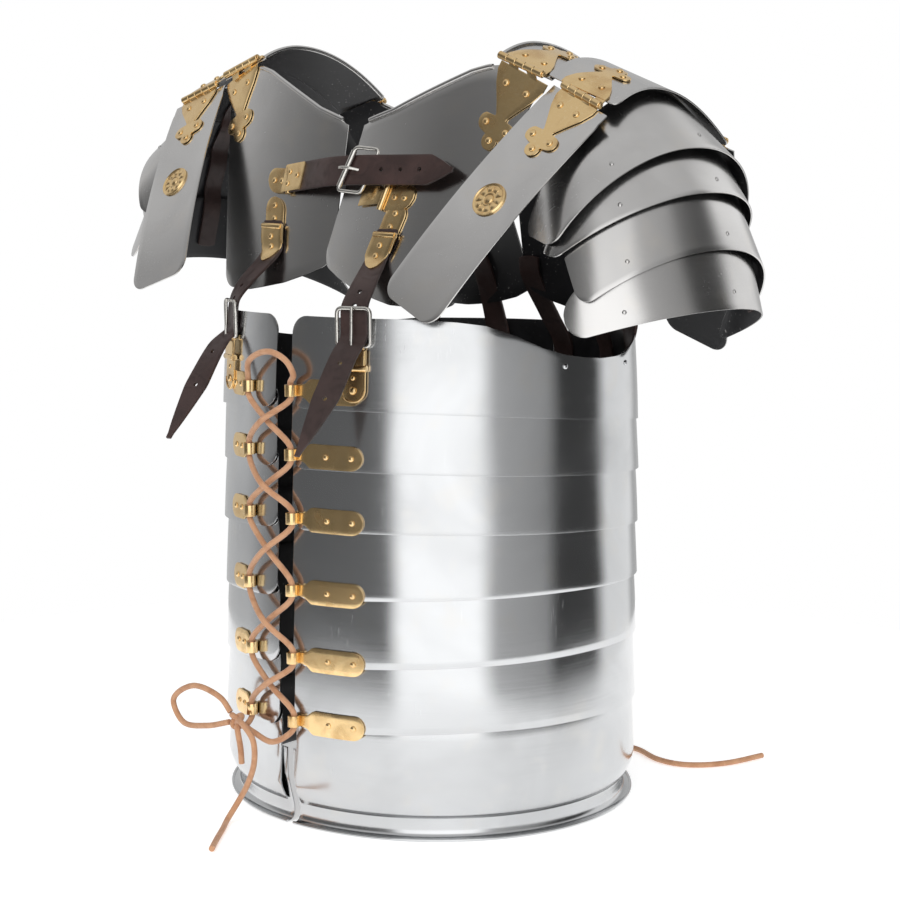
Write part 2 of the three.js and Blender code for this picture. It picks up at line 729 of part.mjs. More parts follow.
// Centre line of a front strap: down the breast plate, over to the top hoop and
// through its buckle, with the tail standing off.
function frontStrapStations(side) {
  const chest = chestSurface(side, false);
  const hoop = hoopSurface(HOOPS[0], side);
  const onHoop = (z) => {
    const n = normalAt(hoop, FRONT_STRAP_ARC, z);
    const centre = hoop.at(FRONT_STRAP_ARC, z).addScaledVector(n, STRAP_STAND).toArray();
    return { centre, wide: new THREE.Vector3(-n.y, n.x, 0).multiplyScalar(side).normalize() };
  };
  const onChest = (z) => {
    const n = normalAt(chest, FRONT_STRAP_SHARE, z);
    const centre = chest.at(FRONT_STRAP_SHARE, z).addScaledVector(n, STRAP_STAND).toArray();
    return { centre, wide: new THREE.Vector3(side, 0, 0) };
  };
  const meeting = onHoop(402);
  return [
    onChest(476),
    onChest(463),
    onChest(452),
    { centre: [side * 69, -142, 430], wide: new THREE.Vector3(side, 0.2, 0) },
    { centre: [side * 71, -152, 416], wide: meeting.wide },
    meeting,
    onHoop(393),
    ...FRONT_STRAP_TAIL.map(([x, y, z]) => ({ centre: [side * x, y, z], wide: meeting.wide })),
  ];
}

function buildStraps() {
  for (const [side, sideName] of SIDES) {
    const surface = strapSurface(frontStrapStations(side));
    const rows = strapRows(27, FRONT_STRAP_HALF, 0.1);
    add(`front_strap_${sideName}`, sheet(surface, rows, { lift: LEATHER / 2, thickness: LEATHER }), leather);
  }
  const upwards = new THREE.Vector3(0, 0.3, 0.95).normalize();
  const chest = strapSurface(CHEST_STRAP.map((centre) => ({ centre, wide: upwards })));
  const rows = strapRows(18, CHEST_STRAP_HALF, 0.1);
  add("chest_strap", sheet(chest, rows, { lift: LEATHER / 2, thickness: LEATHER }), leather);
  add("chest_buckle", chestBuckle(), nickel);
}

// Square buckle frame that stands round the chest strap, with its tongue.
function chestBuckle() {
  const frame = new THREE.Shape();
  const [halfWide, halfTall] = [11, 19];
  frame.moveTo(-halfWide, -halfTall);
  frame.lineTo(halfWide, -halfTall);
  frame.lineTo(halfWide, halfTall);
  frame.lineTo(-halfWide, halfTall);
  frame.closePath();
  const hole = new THREE.Path();
  const inner = BUCKLE_ROD;
  hole.moveTo(-halfWide + inner, -halfTall + inner);
  hole.lineTo(-halfWide + inner, halfTall - inner);
  hole.lineTo(halfWide - inner, halfTall - inner);
  hole.lineTo(halfWide - inner, -halfTall + inner);
  hole.closePath();
  frame.holes.push(hole);
  const geometry = new THREE.ExtrudeGeometry(frame, { depth: BUCKLE_ROD, bevelEnabled: false });
  geometry.rotateX(Math.PI / 2 - 0.3);
  return geometry.translate(32, -112.9, 519);
}

// Front lace, from the knot up through the loops, over the top and down again,
// then the bow and its two tails.
const KNOT = [-37, -184, 80];
const BOW = [
  [-37, -184, 80], [-52, -188, 96], [-85, -190, 101], [-112, -190, 84], [-100, -190, 68], [-70, -189, 70],
  [-37, -184, 80],
];
const SHORT_TAIL = [[-37, -184, 80], [-30, -189, 74], [-27, -189, 62], [-27, -188, 52]];
const LONG_TAIL = [
  [-37, -184, 80], [-22, -190, 80], [-9, -191, 70], [-9, -190, 52], [-17, -190, 33], [-28, -192, 15],
  [-27, -203, 4.5], [-14, -219, 2.7], [2, -238, 2.7], [17, -255, 2.7],
];

// The two strands cross in front of the gap between the hoops, one before the other.
const CROSSING_Y = { front: -180.8, back: -175.2 };
const ARCH = [[27, -176, 363], [23, -179, 373], [8, -180.5, 379.5], [-8, -180, 378], [-24, -178, 370]];
const STRAND_START = [KNOT, [-30, -183, 76]];
const STRAND_END = [[0, -178, 68], [-20, -180, 72], KNOT];

// One strand from the lowest loops to the highest, changing sides at each hoop.
function laceStrand(lowestSide, crossingY) {
  const points = [];
  let side = lowestSide;
  for (let number = HOOPS.length - 1; number >= 0; number--) {
    const c = loopCentre(side, number);
    points.push([c.x, c.y, c.z - 6.5], [c.x, c.y, c.z], [c.x, c.y, c.z + 6.5]);
    side = -side;
    if (number > 0) {
      const next = loopCentre(side, number - 1);
      points.push([(c.x + next.x) / 2, crossingY, (c.z + next.z) / 2]);
    }
  }
  return points;
}

function buildLace() {
  const up = laceStrand(-1, CROSSING_Y.front);
  const down = laceStrand(1, CROSSING_Y.back).reverse();
  const knot = new THREE.SphereGeometry(6.5, 10, 8).rotateX(Math.PI / 2).translate(...KNOT);
  const parts = [
    tube([...STRAND_START, ...up, ...ARCH, ...down, ...STRAND_END], LACE_RADIUS, 1),
    tube(BOW, LACE_RADIUS, 3),
    tube(SHORT_TAIL, LACE_RADIUS, 2),
    tube(LONG_TAIL, LACE_RADIUS, 2),
    knot,
  ];
  add("front_lace", union(parts), lace);
  add("back_lace_tail", tube(BACK_TAIL, LACE_RADIUS, 3), lace);
}

// Loose end of the back lace: out under the hoops and along the floor.
const BACK_TAIL = [
  [14, 170.6, 70], [15, 171.4, 36], [26, 178, 12], [50, 187, 3], [78, 186, 2.7], [110, 174, 2.7], [132, 175, 2.7],
  [148, 186, 2.7], [162, 208, 3], [172, 245, 4],
];

const SIDES = [[1, "left"], [-1, "right"]];
for (const [side, sideName] of SIDES) {
  buildGirdle(side, sideName, side > 0 ? LEFT_FRONT_EDGE : RIGHT_FRONT_EDGE);
  buildChest(side, sideName);
  buildCollarTop(side, sideName);
  buildGuards(side, sideName);
  buildLames(side, sideName);
  buildHinges(side, sideName);
  buildLoops(side, sideName, side > 0 ? LEFT_LOOP : RIGHT_LOOP);
}
buildStraps();
buildLace();
armour.position.y = ORIGIN_SHIFT;

export default armour;
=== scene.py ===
"""Roman plate armour of overlapping steel hoops, dressed in steel, brass and leather.

Sizes are millimetres in the armour's own axes: the wearer faces -Y and the
wearer's left is +X. metres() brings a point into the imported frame.
"""

import json
import logging
import math
from dataclasses import dataclass, field
from enum import Enum
from typing import Callable, Iterable, NamedTuple, Optional, Sequence

import bmesh
import bpy
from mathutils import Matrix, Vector, noise

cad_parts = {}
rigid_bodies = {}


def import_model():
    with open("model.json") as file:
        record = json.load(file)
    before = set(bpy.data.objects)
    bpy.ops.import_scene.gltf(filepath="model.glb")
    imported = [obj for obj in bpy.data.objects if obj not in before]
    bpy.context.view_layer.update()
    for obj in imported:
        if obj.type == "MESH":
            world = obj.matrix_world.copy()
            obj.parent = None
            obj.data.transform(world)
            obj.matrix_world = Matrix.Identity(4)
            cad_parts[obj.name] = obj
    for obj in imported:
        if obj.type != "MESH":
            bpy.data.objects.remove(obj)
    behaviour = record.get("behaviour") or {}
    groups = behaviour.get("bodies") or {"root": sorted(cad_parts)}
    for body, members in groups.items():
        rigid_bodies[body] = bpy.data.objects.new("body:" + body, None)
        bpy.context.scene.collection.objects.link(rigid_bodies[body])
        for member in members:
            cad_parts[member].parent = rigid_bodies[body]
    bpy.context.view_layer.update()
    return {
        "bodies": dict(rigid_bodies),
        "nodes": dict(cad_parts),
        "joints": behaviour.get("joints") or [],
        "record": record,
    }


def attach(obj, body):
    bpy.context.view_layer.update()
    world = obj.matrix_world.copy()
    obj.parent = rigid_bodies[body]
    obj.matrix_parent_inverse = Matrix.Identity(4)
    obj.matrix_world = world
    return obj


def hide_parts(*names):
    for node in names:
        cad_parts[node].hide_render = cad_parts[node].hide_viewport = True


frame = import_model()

Socket = bpy.types.NodeSocket
Material = bpy.types.Material

LOG = logging.getLogger("armour")

ORIGIN_SHIFT = 22.9  # the frame's origin lies this far in front of the girdle's axis
STEEL = 1.2  # sheet steel of the plates
BRASS = 1.2  # sheet brass of hinges and loops
LEATHER = 2.4  # thickness of the straps
GAP = 0.35  # air between pieces that touch
LEAN = 0.035  # the shoulders sit lower on the wearer's left
LEAF_LIFT = 0.6 + BRASS  # outer face of a brass leaf above its plate
CENTRE_LAP = 2.6  # how far the left chest plates stand before the right ones
LACE_RADIUS = 2.4  # round leather lace
CHEST_WIDTH = 135.0  # of a breast plate, along its middle
PER_MM = 1 / CHEST_WIDTH / 1.05  # share of a breast plate's width for each millimetre across it
SMOOTH_ANGLE = math.radians(38)  # edges sharper than this stay crisp
BEVEL_ANGLE = math.radians(50)  # edges sharper than this are rounded
SHOULDER_CENTRE_Y = -5.0  # middle of the lames, front to back
ROOT = "harness"


def metres(point: Sequence[float]) -> Vector:
    """Point of the frame, in metres, for one in the armour's own millimetres."""
    return Vector((point[0], point[1] + ORIGIN_SHIFT, point[2])) / 1000


def mix(a: float, b: float, share: float) -> float:
    """Value at a share of the way from a to b."""
    return a + (b - a) * share


def clamp(value: float, low: float, high: float) -> float:
    """Value kept between two limits."""
    return min(high, max(low, value))


def spread(low: float, high: float, count: int) -> list[float]:
    """Evenly spaced values from low to high, both included."""
    return [mix(low, high, i / (count - 1)) for i in range(count)]


def from_table(rows: Sequence[tuple[float, ...]], value: float, column: int = 1) -> float:
    """Reads a table by straight lines between its rows.

    Args:
        rows: Rows sorted by their first column.
        value: Where to read, in the first column's units.
        column: The column to read.

    Returns:
        The value there, or that of the nearest end row.
    """
    if value <= rows[0][0]:
        return rows[0][column]
    for a, b in zip(rows, rows[1:]):
        if value <= b[0]:
            return mix(a[column], b[column], (value - a[0]) / (b[0] - a[0]))
    return rows[-1][column]


def route(points: Sequence[Sequence[float]], per_span: int) -> list[Vector]:
    """Smooth line through every point, as a centripetal curve.

    Args:
        points: Points of the route, in millimetres.
        per_span: Steps between two points.

    Returns:
        Points along the curve.
    """
    fixed = [Vector(p) for p in points]
    ends = [fixed[0] * 2 - fixed[1]] + fixed + [fixed[-1] * 2 - fixed[-2]]
    line = []
    for x0, x1, x2, x3 in zip(ends, ends[1:], ends[2:], ends[3:]):
        d0, d1, d2 = ((b - a).length ** 0.5 for a, b in ((x0, x1), (x1, x2), (x2, x3)))
        t1 = ((x1 - x0) / d0 - (x2 - x0) / (d0 + d1) + (x2 - x1) / d1) * d1
        t2 = ((x2 - x1) / d1 - (x3 - x1) / (d1 + d2) + (x3 - x2) / d2) * d1
        for i in range(per_span):
            t = i / per_span
            line.append(
                x1 + t1 * t + (3 * (x2 - x1) - 2 * t1 - t2) * t**2 + (2 * (x1 - x2) + t1 + t2) * t**3
            )
    return line + [fixed[-1]]


class Side(Enum):
    """The wearer's sides."""

    LEFT = 1
    RIGHT = -1

    @property
    def word(self) -> str:
        """Name used in piece names."""
        return self.name.lower()


class Row(NamedTuple):
    """One row of a sheet: its place, and the span that the sheet covers there."""

    s: float
    low: float
    high: float


@dataclass
class Surface:
    """A smooth surface that plates are cut from.

    Attributes:
        at: Point of the surface at two coordinates.
        outward: A direction that is roughly outward at a point.
        step: Small steps used to find the normal.
    """

    at: Callable[[float, float], Vector]
    outward: Callable[[Vector], Vector]
    step: tuple[float, float] = (0.5, 0.5)

    def normal(self, s: float, a: float) -> Vector:
        """Outward unit normal.

        Args:
            s: First coordinate of the place.
            a: Second coordinate.

        Returns:
            The normal.
        """
        ds = self.at(s + self.step[0], a) - self.at(s - self.step[0], a)
        da = self.at(s, a + self.step[1]) - self.at(s, a - self.step[1])
        n = ds.cross(da).normalized()
        return -n if n.dot(self.outward(self.at(s, a))) < 0 else n

    def lifted(self, s: float, a: float, lift: float) -> Vector:
        """Point that stands off the surface along its normal."""
        return self.at(s, a) + self.normal(s, a) * lift


def round_end(half: float, past: float) -> float:
    """Half-width of a plate with a round end, at a distance past the centre of its arc."""
    return half if past < 0 else math.sqrt(max(0.3, half**2 - past**2))


def corner_rows(
    low: float, high: float, count: int, radius: float, arc: int = 9
) -> list[tuple[float, float]]:
    """Places along a plate, closer together through its rounded corners.

    Args:
        low: Where the plate starts.
        high: Where it ends.
        count: Steps over the whole length.
        radius: Radius of the corners.
        arc: Steps through one corner.

    Returns:
        Pairs of a place and how far the corner cuts in there.
    """
    near = [radius * (1 - math.cos(math.pi / 2 * i / arc)) for i in range(arc + 1)]
    near[0] = radius * 0.004
    middle = [s for s in spread(low, high, count + 1) if low + radius * 1.1 < s < high - radius * 1.1]
    places = [low + d for d in near] + middle + [high - d for d in reversed(near)]
    rows = []
    for s in places:
        d = min(s - low, high - s)
        cut = radius - math.sqrt(max(0.0, radius**2 - (radius - d) ** 2)) if d < radius else 0.0
        rows.append((s, cut))
    return rows


@dataclass
class Shape:
    """Collects the geometry of one piece, in the armour's millimetres."""

    verts: list[Vector] = field(default_factory=list)
    faces: list[tuple[int, ...]] = field(default_factory=list)
    inner_faces: set[int] = field(default_factory=set)

    def grid(self, outer: list[Vector], inner: list[Vector], rows: int, columns: int) -> None:
        """Adds a closed sheet between two grids of points.

        Args:
            outer: Points of the outer face, row by row.
            inner: Points of the inner face in the same order.
            rows: How many rows there are.
            columns: Points in a row.
        """
        start, under = len(self.verts), len(outer)
        self.verts += outer + inner

        def quad(a: int, b: int, c: int, d: int) -> None:
            """Adds one face by its corners."""
            self.faces.append((start + a, start + b, start + c, start + d))

        for i in range(rows - 1):
            for j in range(columns - 1):
                a, b = i * columns + j, (i + 1) * columns + j
                quad(a, b, b + 1, a + 1)
                self.inner_faces.add(len(self.faces))
                quad(under + a, under + a + 1, under + b + 1, under + b)
            for a, b in ((i * columns, (i + 1) * columns), ((i + 2) * columns - 1, (i + 1) * columns - 1)):
                quad(a, under + a, under + b, b)
        for j in range(columns - 1):
            last = (rows - 1) * columns + j
            quad(j, j + 1, under + j + 1, under + j)
            quad(last, under + last, under + last + 1, last + 1)

    def sheet(
        self, surface: Surface, rows: Iterable[Row], across: int = 9, lift: float = 0.0,
        thickness: float = STEEL,
    ) -> "Shape":
        """Adds a sheet cut from a surface.

        Args:
            surface: The surface that it follows.
            rows: Its rows.
            across: Points in a row.
            lift: How far its outer face stands off the surface.
            thickness: Of the sheet, inwards from the outer face.

        Returns:
            This shape.
        """
        rows = list(rows)
        outer, inner = [], []
        for row in rows:
            for a in spread(row.low, row.high, across):
                point, n = surface.at(row.s, a), surface.normal(row.s, a)
                outer.append(point + n * lift)
                inner.append(point + n * (lift - thickness))
        self.grid(outer, inner, len(rows), across)
        return self

    def tube(self, points: Sequence[Vector], radius: float, sides: int = 12, flat: float = 1.0) -> "Shape":
        """Adds a closed tube along a line.

        Args:
            points: Points of its centre line.
            radius: Of its section.
            sides: Corners of its section.
            flat: Height of the section as a share of its width.

        Returns:
            This shape.
        """
        start = len(self.verts)
        count = len(points)
        along = [(points[min(i + 1, count - 1)] - points[max(i - 1, 0)]).normalized() for i in range(count)]
        up = along[0].orthogonal().normalized()
        for point, direction in zip(points, along):
            up = (up - direction * up.dot(direction)).normalized()
            aside = direction.cross(up)
            for k in range(sides):
                turn = 2 * math.pi * k / sides
                offset = up * math.cos(turn) + aside * (flat * math.sin(turn))
                self.verts.append(point + offset * radius)
        for i in range(count - 1):
            for k in range(sides):
                a, b = start + i * sides + k, start + i * sides + (k + 1) % sides
                self.faces.append((a, b, b + sides, a + sides))
        self.faces.append(tuple(start + k for k in reversed(range(sides))))
        self.faces.append(tuple(start + (count - 1) * sides + k for k in range(sides)))
        return self

    def turned(
        self, base: Vector, axis: Vector, profile: Sequence[tuple[float, float]], sides: int = 20
    ) -> "Shape":
        """Adds a turned form, such as a rivet's head.

        Args:
            base: Where the profile's zero lies.
            axis: Direction of its height.
            profile: Pairs of radius and height, from the outer foot to the top.
            sides: Steps round the axis.

        Returns:
            This shape.
        """
        axis = axis.normalized()
        u = axis.orthogonal().normalized()
        v = axis.cross(u)
        start = len(self.verts)
        for radius, height in profile:
            for k in range(sides):
                turn = 2 * math.pi * k / sides
                self.verts.append(base + axis * height + (u * math.cos(turn) + v * math.sin(turn)) * radius)
        for i in range(len(profile) - 1):
            for k in range(sides):
                a, b = start + i * sides + k, start + i * sides + (k + 1) % sides
                self.faces.append((a, b, b + sides, a + sides))
        self.faces.append(tuple(start + k for k in reversed(range(sides))))
        self.faces.append(tuple(start + (len(profile) - 1) * sides + k for k in range(sides)))
        return self

    def rivet(self, surface: Surface, s: float, a: float, lift: float, radius: float = 2.7) -> "Shape":
        """Adds a domed rivet head on a surface.

        Args:
            surface: The surface that carries the riveted sheet.
            s: Place along it.
            a: Place across it.
            lift: Height of the sheet's outer face over the surface.
            radius: Of the head.

        Returns:
            This shape.
        """
        foot = surface.lifted(s, a, lift - 0.4)
        dome = [(radius, 0.0), (radius, 0.6)]
        dome += [(radius * math.cos(t), 0.6 + radius * 0.55 * math.sin(t)) for t in spread(0.25, 1.35, 5)]
        return self.turned(foot, surface.normal(s, a), dome)

    def piece(
        self,
        name: str,
        finish: "Finish",
        body: str = ROOT,
        replaces: Sequence[str] = (),
        bevel: float = 0.0,
        declare: Optional[Callable[[bpy.types.Object], object]] = None,
    ) -> bpy.types.Object:
        """Makes the collected geometry an object that rides on a body.

        Args:
            name: Of the object.
            finish: Its finish.
            body: The body that it moves with.
            replaces: The nodes that it stands for.
            bevel: Width of the rounding of its sharp edges, in millimetres.
            declare: Called with the object once it is made.

        Returns:
            The object.
        """
        mesh = bpy.data.meshes.new(name)
        mesh.from_pydata([metres(v) for v in self.verts], [], self.faces)
        if finish.inside:
            for number in self.inner_faces:
                mesh.polygons[number].material_index = 1
        work = bmesh.new()
        work.from_mesh(mesh)
        bmesh.ops.remove_doubles(work, verts=work.verts, dist=1e-6)
        bmesh.ops.recalc_face_normals(work, faces=work.faces)
        if bevel:
            inner = [e for e in work.edges if len(e.link_faces) == 2]
            sharp = [e for e in inner if e.calc_face_angle(0.0) > BEVEL_ANGLE]
            bmesh.ops.bevel(
                work, geom=sharp, offset=bevel / 1000, segments=2, profile=0.6, affect="EDGES",
                clamp_overlap=True,
            )
        work.to_mesh(mesh)
        work.free()
        mesh.shade_smooth()
        mesh.set_sharp_from_angle(angle=SMOOTH_ANGLE)
        mesh.materials.append(finish.material())
        if finish.inside:
            mesh.materials.append(finish.inside.material())
        item = bpy.data.objects.new(name, mesh)
        bpy.context.scene.collection.objects.link(item)
        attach(item, body)
        if replaces:
            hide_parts(*replaces)
        if declare:
            declare(item)
        LOG.info("%s: %d faces, %s, on %s", name, len(mesh.polygons), finish.slot, body)
        return item


class Nodes:
    """Short way to write a material's nodes."""

    def __init__(self, name: str) -> None:
        """Starts a material with an empty Principled shader.

        Args:
            name: Of the material.
        """
        self.material = bpy.data.materials.new(name)
        self.material.use_nodes = True
        self.tree = self.material.node_tree
        self.shader = self.tree.nodes["Principled BSDF"]
        self.coords = self.tree.nodes.new("ShaderNodeTexCoord").outputs["Object"]

    def new(self, kind: str, inputs: Optional[dict] = None, **settings: object) -> bpy.types.Node:
        """Adds a node.

        Args:
            kind: Its type name, without the leading ShaderNode.
            inputs: Values or sockets for its inputs, by name or number.
            settings: Its own settings.

        Returns:
            The node.
        """
        node = self.tree.nodes.new("ShaderNode" + kind)
        for key, value in settings.items():
            setattr(node, key, value)
        for key, value in (inputs or {}).items():
            if isinstance(value, Socket):
                self.tree.links.new(value, node.inputs[key])
            else:
                node.inputs[key].default_value = value
        return node

    def stretched(self, scale: Sequence[float], turn: Sequence[float] = (0, 0, 0)) -> Socket:
        """Scales and turns the object's coordinates.

        Args:
            scale: Along each axis.
            turn: About each axis, in degrees.

        Returns:
            The changed coordinates.
        """
        mapping = self.new("Mapping", {"Vector": self.coords, "Scale": scale})
        mapping.inputs["Rotation"].default_value = [math.radians(t) for t in turn]
        return mapping.outputs["Vector"]

    def noise(
        self, scale: float, detail: float = 3.0, vector: Optional[Socket] = None, **more: float
    ) -> Socket:
        """Noise value.

        Args:
            scale: Of the noise.
            detail: Octaves.
            vector: Coordinates to read, or none for the object's own.
            more: Further inputs, such as Distortion.

        Returns:
            The noise's value socket.
        """
        inputs = {"Scale": scale, "Detail": detail, "Vector": vector or self.coords, **more}
        return self.new("TexNoise", inputs).outputs[0]

    def ramp(self, value: Socket, stops: Sequence[tuple[float, Sequence[float]]]) -> Socket:
        """Colour ramp over a value.

        Args:
            value: The value to read.
            stops: Places and their colours, or greys given as one number.

        Returns:
            The colour socket.
        """
        node = self.new("ValToRGB", {0: value})
        elements = node.color_ramp.elements
        while len(elements) < len(stops):
            elements.new(0.5)
        for element, (place, colour) in zip(elements, stops):
            element.position = place
            grey = (colour,) * 3 if isinstance(colour, (int, float)) else colour
            element.color = (*grey, 1.0)
        return node.outputs["Color"]

    def blend(self, share: object, a: object, b: object, mode: str = "MIX") -> Socket:
        """Mixes two colours.

        Args:
            share: How much of b, as a number or socket.
            a: First colour or socket.
            b: Second colour or socket.
            mode: The blend type.

        Returns:
            The mixed colour.
        """
        node = self.tree.nodes.new("ShaderNodeMix")
        node.data_type, node.blend_type = "RGBA", mode
        for socket, value in ((node.inputs[0], share), (node.inputs[6], a), (node.inputs[7], b)):
            if isinstance(value, Socket):
                self.tree.links.new(value, socket)
            elif isinstance(value, (int, float)):
                socket.default_value = value
            else:
                socket.default_value = (*value, 1.0)
        return node.outputs[2]

    def map_range(
        self, value: Socket, low: float, high: float, start: float = 0.0, end: float = 1.0
    ) -> Socket:
        """Maps one range of a value to another.

        Args:
            value: The value to read.
            low: Result at the start.
            high: Result at the end.
            start: Value where the range starts.
            end: Value where it ends.

        Returns:
            The mapped value.
        """
        names = {"Value": value, "From Min": start, "From Max": end, "To Min": low, "To Max": high}
        return self.new("MapRange", names).outputs[0]

    def bump(
        self, height: Socket, strength: float, depth: float, under: Optional[Socket] = None
    ) -> Socket:
        """Adds a bump.

        Args:
            height: Its height.
            strength: How strongly it shows.
            depth: Of the relief, in metres.
            under: A normal that it lies on.

        Returns:
            The normal.
        """
        inputs = {"Height": height, "Strength": strength, "Distance": depth}
        if under:
            inputs["Normal"] = under
        return self.new("Bump", inputs).outputs[0]

    def add(self, first: Socket, second: Socket) -> Socket:
        """Sum of two values."""
        return self.new("Math", {0: first, 1: second}, operation="ADD").outputs[0]

    def finish(self, colour: Socket, roughness: Socket, normal: Socket, **constants: float) -> Material:
        """Connects the shader.

        Args:
            colour: Base colour.
            roughness: Roughness.
            normal: Normal.
            constants: Values set on the shader's own sockets.

        Returns:
            The material.
        """
        for key, socket in (("Base Color", colour), ("Roughness", roughness), ("Normal", normal)):
            self.tree.links.new(socket, self.shader.inputs[key])
        for key, value in constants.items():
            self.shader.inputs[key].default_value = value
        return self.material


@dataclass(frozen=True)
class Finish:
    """One finish of the record, made once and shared by its pieces.

    Attributes:
        slot: The record's material slot.
        colour: Base colour, linear.
        inside: Finish of the inner faces, if they differ.
    """

    slot: str
    colour: tuple[float, float, float]
    inside: Optional["Finish"] = None

    def material(self) -> Material:
        """The finish's material, built at its first use."""
        name = f"{type(self).__name__}_{self.slot}"
        return bpy.data.materials.get(name) or self.build(Nodes(name))

    def build(self, nodes: Nodes) -> Material:
        """Builds the material; each finish has its own way."""
        raise NotImplementedError


@dataclass(frozen=True)
class SheetSteel(Finish):
    """Rolled steel sheet with fine grain, smudges and hairline scratches.

    Attributes:
        smooth: Roughness of the clean sheet.
        smudged: Roughness where it has been handled.
        grain: How far the grain shows in the roughness.
    """

    smooth: float = 0.16
    smudged: float = 0.3
    grain: float = 0.05

    def build(self, nodes: Nodes) -> Material:
        """Builds sheet steel: grain round the body, smudges, scratches and stains.

        Args:
            nodes: The new material's nodes.

        Returns:
            The material.
        """
        grain = nodes.noise(1.0, 2.0, nodes.stretched((14, 14, 1500)))
        cloudy = nodes.noise(9.0, 4.0, Distortion=0.6)
        patches = nodes.noise(38.0, 3.0)
        hairline = nodes.noise(1.0, 1.5, nodes.stretched((900, 900, 18), (12, 20, 0)))
        second = nodes.noise(1.0, 1.5, nodes.stretched((30, 1400, 60), (0, 35, 25)))
        lines = nodes.ramp(hairline, [(0.0, 0.0), (0.71, 0.0), (0.735, 1.0), (1.0, 1.0)])
        more = nodes.ramp(second, [(0.0, 0.0), (0.74, 0.0), (0.76, 1.0), (1.0, 1.0)])
        scratches = nodes.blend(1.0, lines, more, "LIGHTEN")
        where = nodes.ramp(nodes.noise(16.0, 2.0), [(0.0, 0.0), (0.52, 0.0), (0.66, 1.0), (1.0, 1.0)])
        marks = nodes.blend(1.0, scratches, where, "MULTIPLY")
        dark = tuple(c * 0.82 for c in self.colour)
        warm = (self.colour[0] * 0.97, self.colour[1] * 0.94, self.colour[2] * 0.89)
        colour = nodes.blend(nodes.map_range(cloudy, 0.0, 1.0, 0.3, 0.7), self.colour, dark)
        colour = nodes.blend(nodes.map_range(patches, 0.0, 0.6, 0.55, 0.8), colour, warm)
        colour = nodes.blend(nodes.map_range(marks, 0.0, 0.35), colour, (0.85, 0.86, 0.88))
        rough = nodes.map_range(cloudy, self.smooth, self.smudged, 0.35, 0.75)
        rough = nodes.add(rough, nodes.map_range(grain, -self.grain, self.grain))
        rough = nodes.add(rough, nodes.map_range(marks, 0.0, 0.12))
        normal = nodes.bump(grain, 0.10, 0.00004)
        normal = nodes.bump(marks, 0.25, 0.00003, normal)
        normal = nodes.bump(nodes.noise(22.0, 1.0), 0.10, 0.0004, normal)
        return nodes.finish(colour, rough, normal, Metallic=1.0)


@dataclass(frozen=True)
class BlackenedSteel(Finish):
    """Black oiled inside of the plates, speckled where it has rubbed off."""

    def build(self, nodes: Nodes) -> Material:
        """Builds the black coat: cloudy gloss and rubbed specks.

        Args:
            nodes: The new material's nodes.

        Returns:
            The material.
        """
        cloudy = nodes.noise(14.0, 4.0, Distortion=0.8)
        specks = nodes.ramp(nodes.noise(520.0, 2.0), [(0.0, 0.0), (0.68, 0.0), (0.72, 1.0), (1.0, 1.0)])
        where = nodes.ramp(nodes.noise(20.0, 2.0), [(0.0, 0.0), (0.5, 0.0), (0.62, 1.0), (1.0, 1.0)])
        rubbed = nodes.blend(1.0, specks, where, "MULTIPLY")
        pale = tuple(c * 2.2 for c in self.colour)
        colour = nodes.blend(nodes.map_range(cloudy, 0.0, 1.0, 0.35, 0.7), self.colour, pale)
        colour = nodes.blend(rubbed, colour, (0.34, 0.33, 0.32))
        rough = nodes.map_range(cloudy, 0.28, 0.5, 0.3, 0.7)
        return nodes.finish(colour, rough, nodes.bump(rubbed, 0.3, 0.00005), Metallic=0.0)


@dataclass(frozen=True)
class WornBrass(Finish):
    """Sheet brass, polished once, with darker handling marks."""

    def build(self, nodes: Nodes) -> Material:
        """Builds brass: warm mottling, a fine lay of polishing and dull spots.

        Args:
            nodes: The new material's nodes.

        Returns:
            The material.
        """
        mottled = nodes.noise(48.0, 3.0, Distortion=0.5)
        spots = nodes.noise(420.0, 2.0)
        lay = nodes.noise(1.0, 2.0, nodes.stretched((300, 300, 3500)))
        deep = (self.colour[0] * 0.62, self.colour[1] * 0.50, self.colour[2] * 0.38)
        pale = (min(1.0, self.colour[0] * 1.15), self.colour[1] * 1.22, self.colour[2] * 1.5)
        colour = nodes.blend(nodes.map_range(mottled, 0.0, 0.75, 0.48, 0.8), self.colour, deep)
        colour = nodes.blend(nodes.map_range(spots, 0.0, 0.4, 0.55, 0.8), colour, pale)
        rough = nodes.map_range(mottled, 0.15, 0.32, 0.3, 0.75)
        normal = nodes.bump(lay, 0.10, 0.00004)
        normal = nodes.bump(nodes.noise(60.0, 2.0), 0.25, 0.0003, normal)
        return nodes.finish(colour, rough, normal, Metallic=1.0)


@dataclass(frozen=True)
class BuckleWire(Finish):
    """Plated wire of the buckles."""

    def build(self, nodes: Nodes) -> Material:
        """Builds bright plating with wear and small dull patches.

        Args:
            nodes: The new material's nodes.

        Returns:
            The material.
        """
        wear = nodes.noise(260.0, 4.0)
        dark = tuple(c * 0.6 for c in self.colour)
        colour = nodes.blend(nodes.map_range(wear, 0.0, 0.8, 0.5, 0.8), self.colour, dark)
        rough = nodes.map_range(wear, 0.12, 0.36, 0.3, 0.8)
        return nodes.finish(colour, rough, nodes.bump(wear, 0.15, 0.0001), Metallic=1.0)


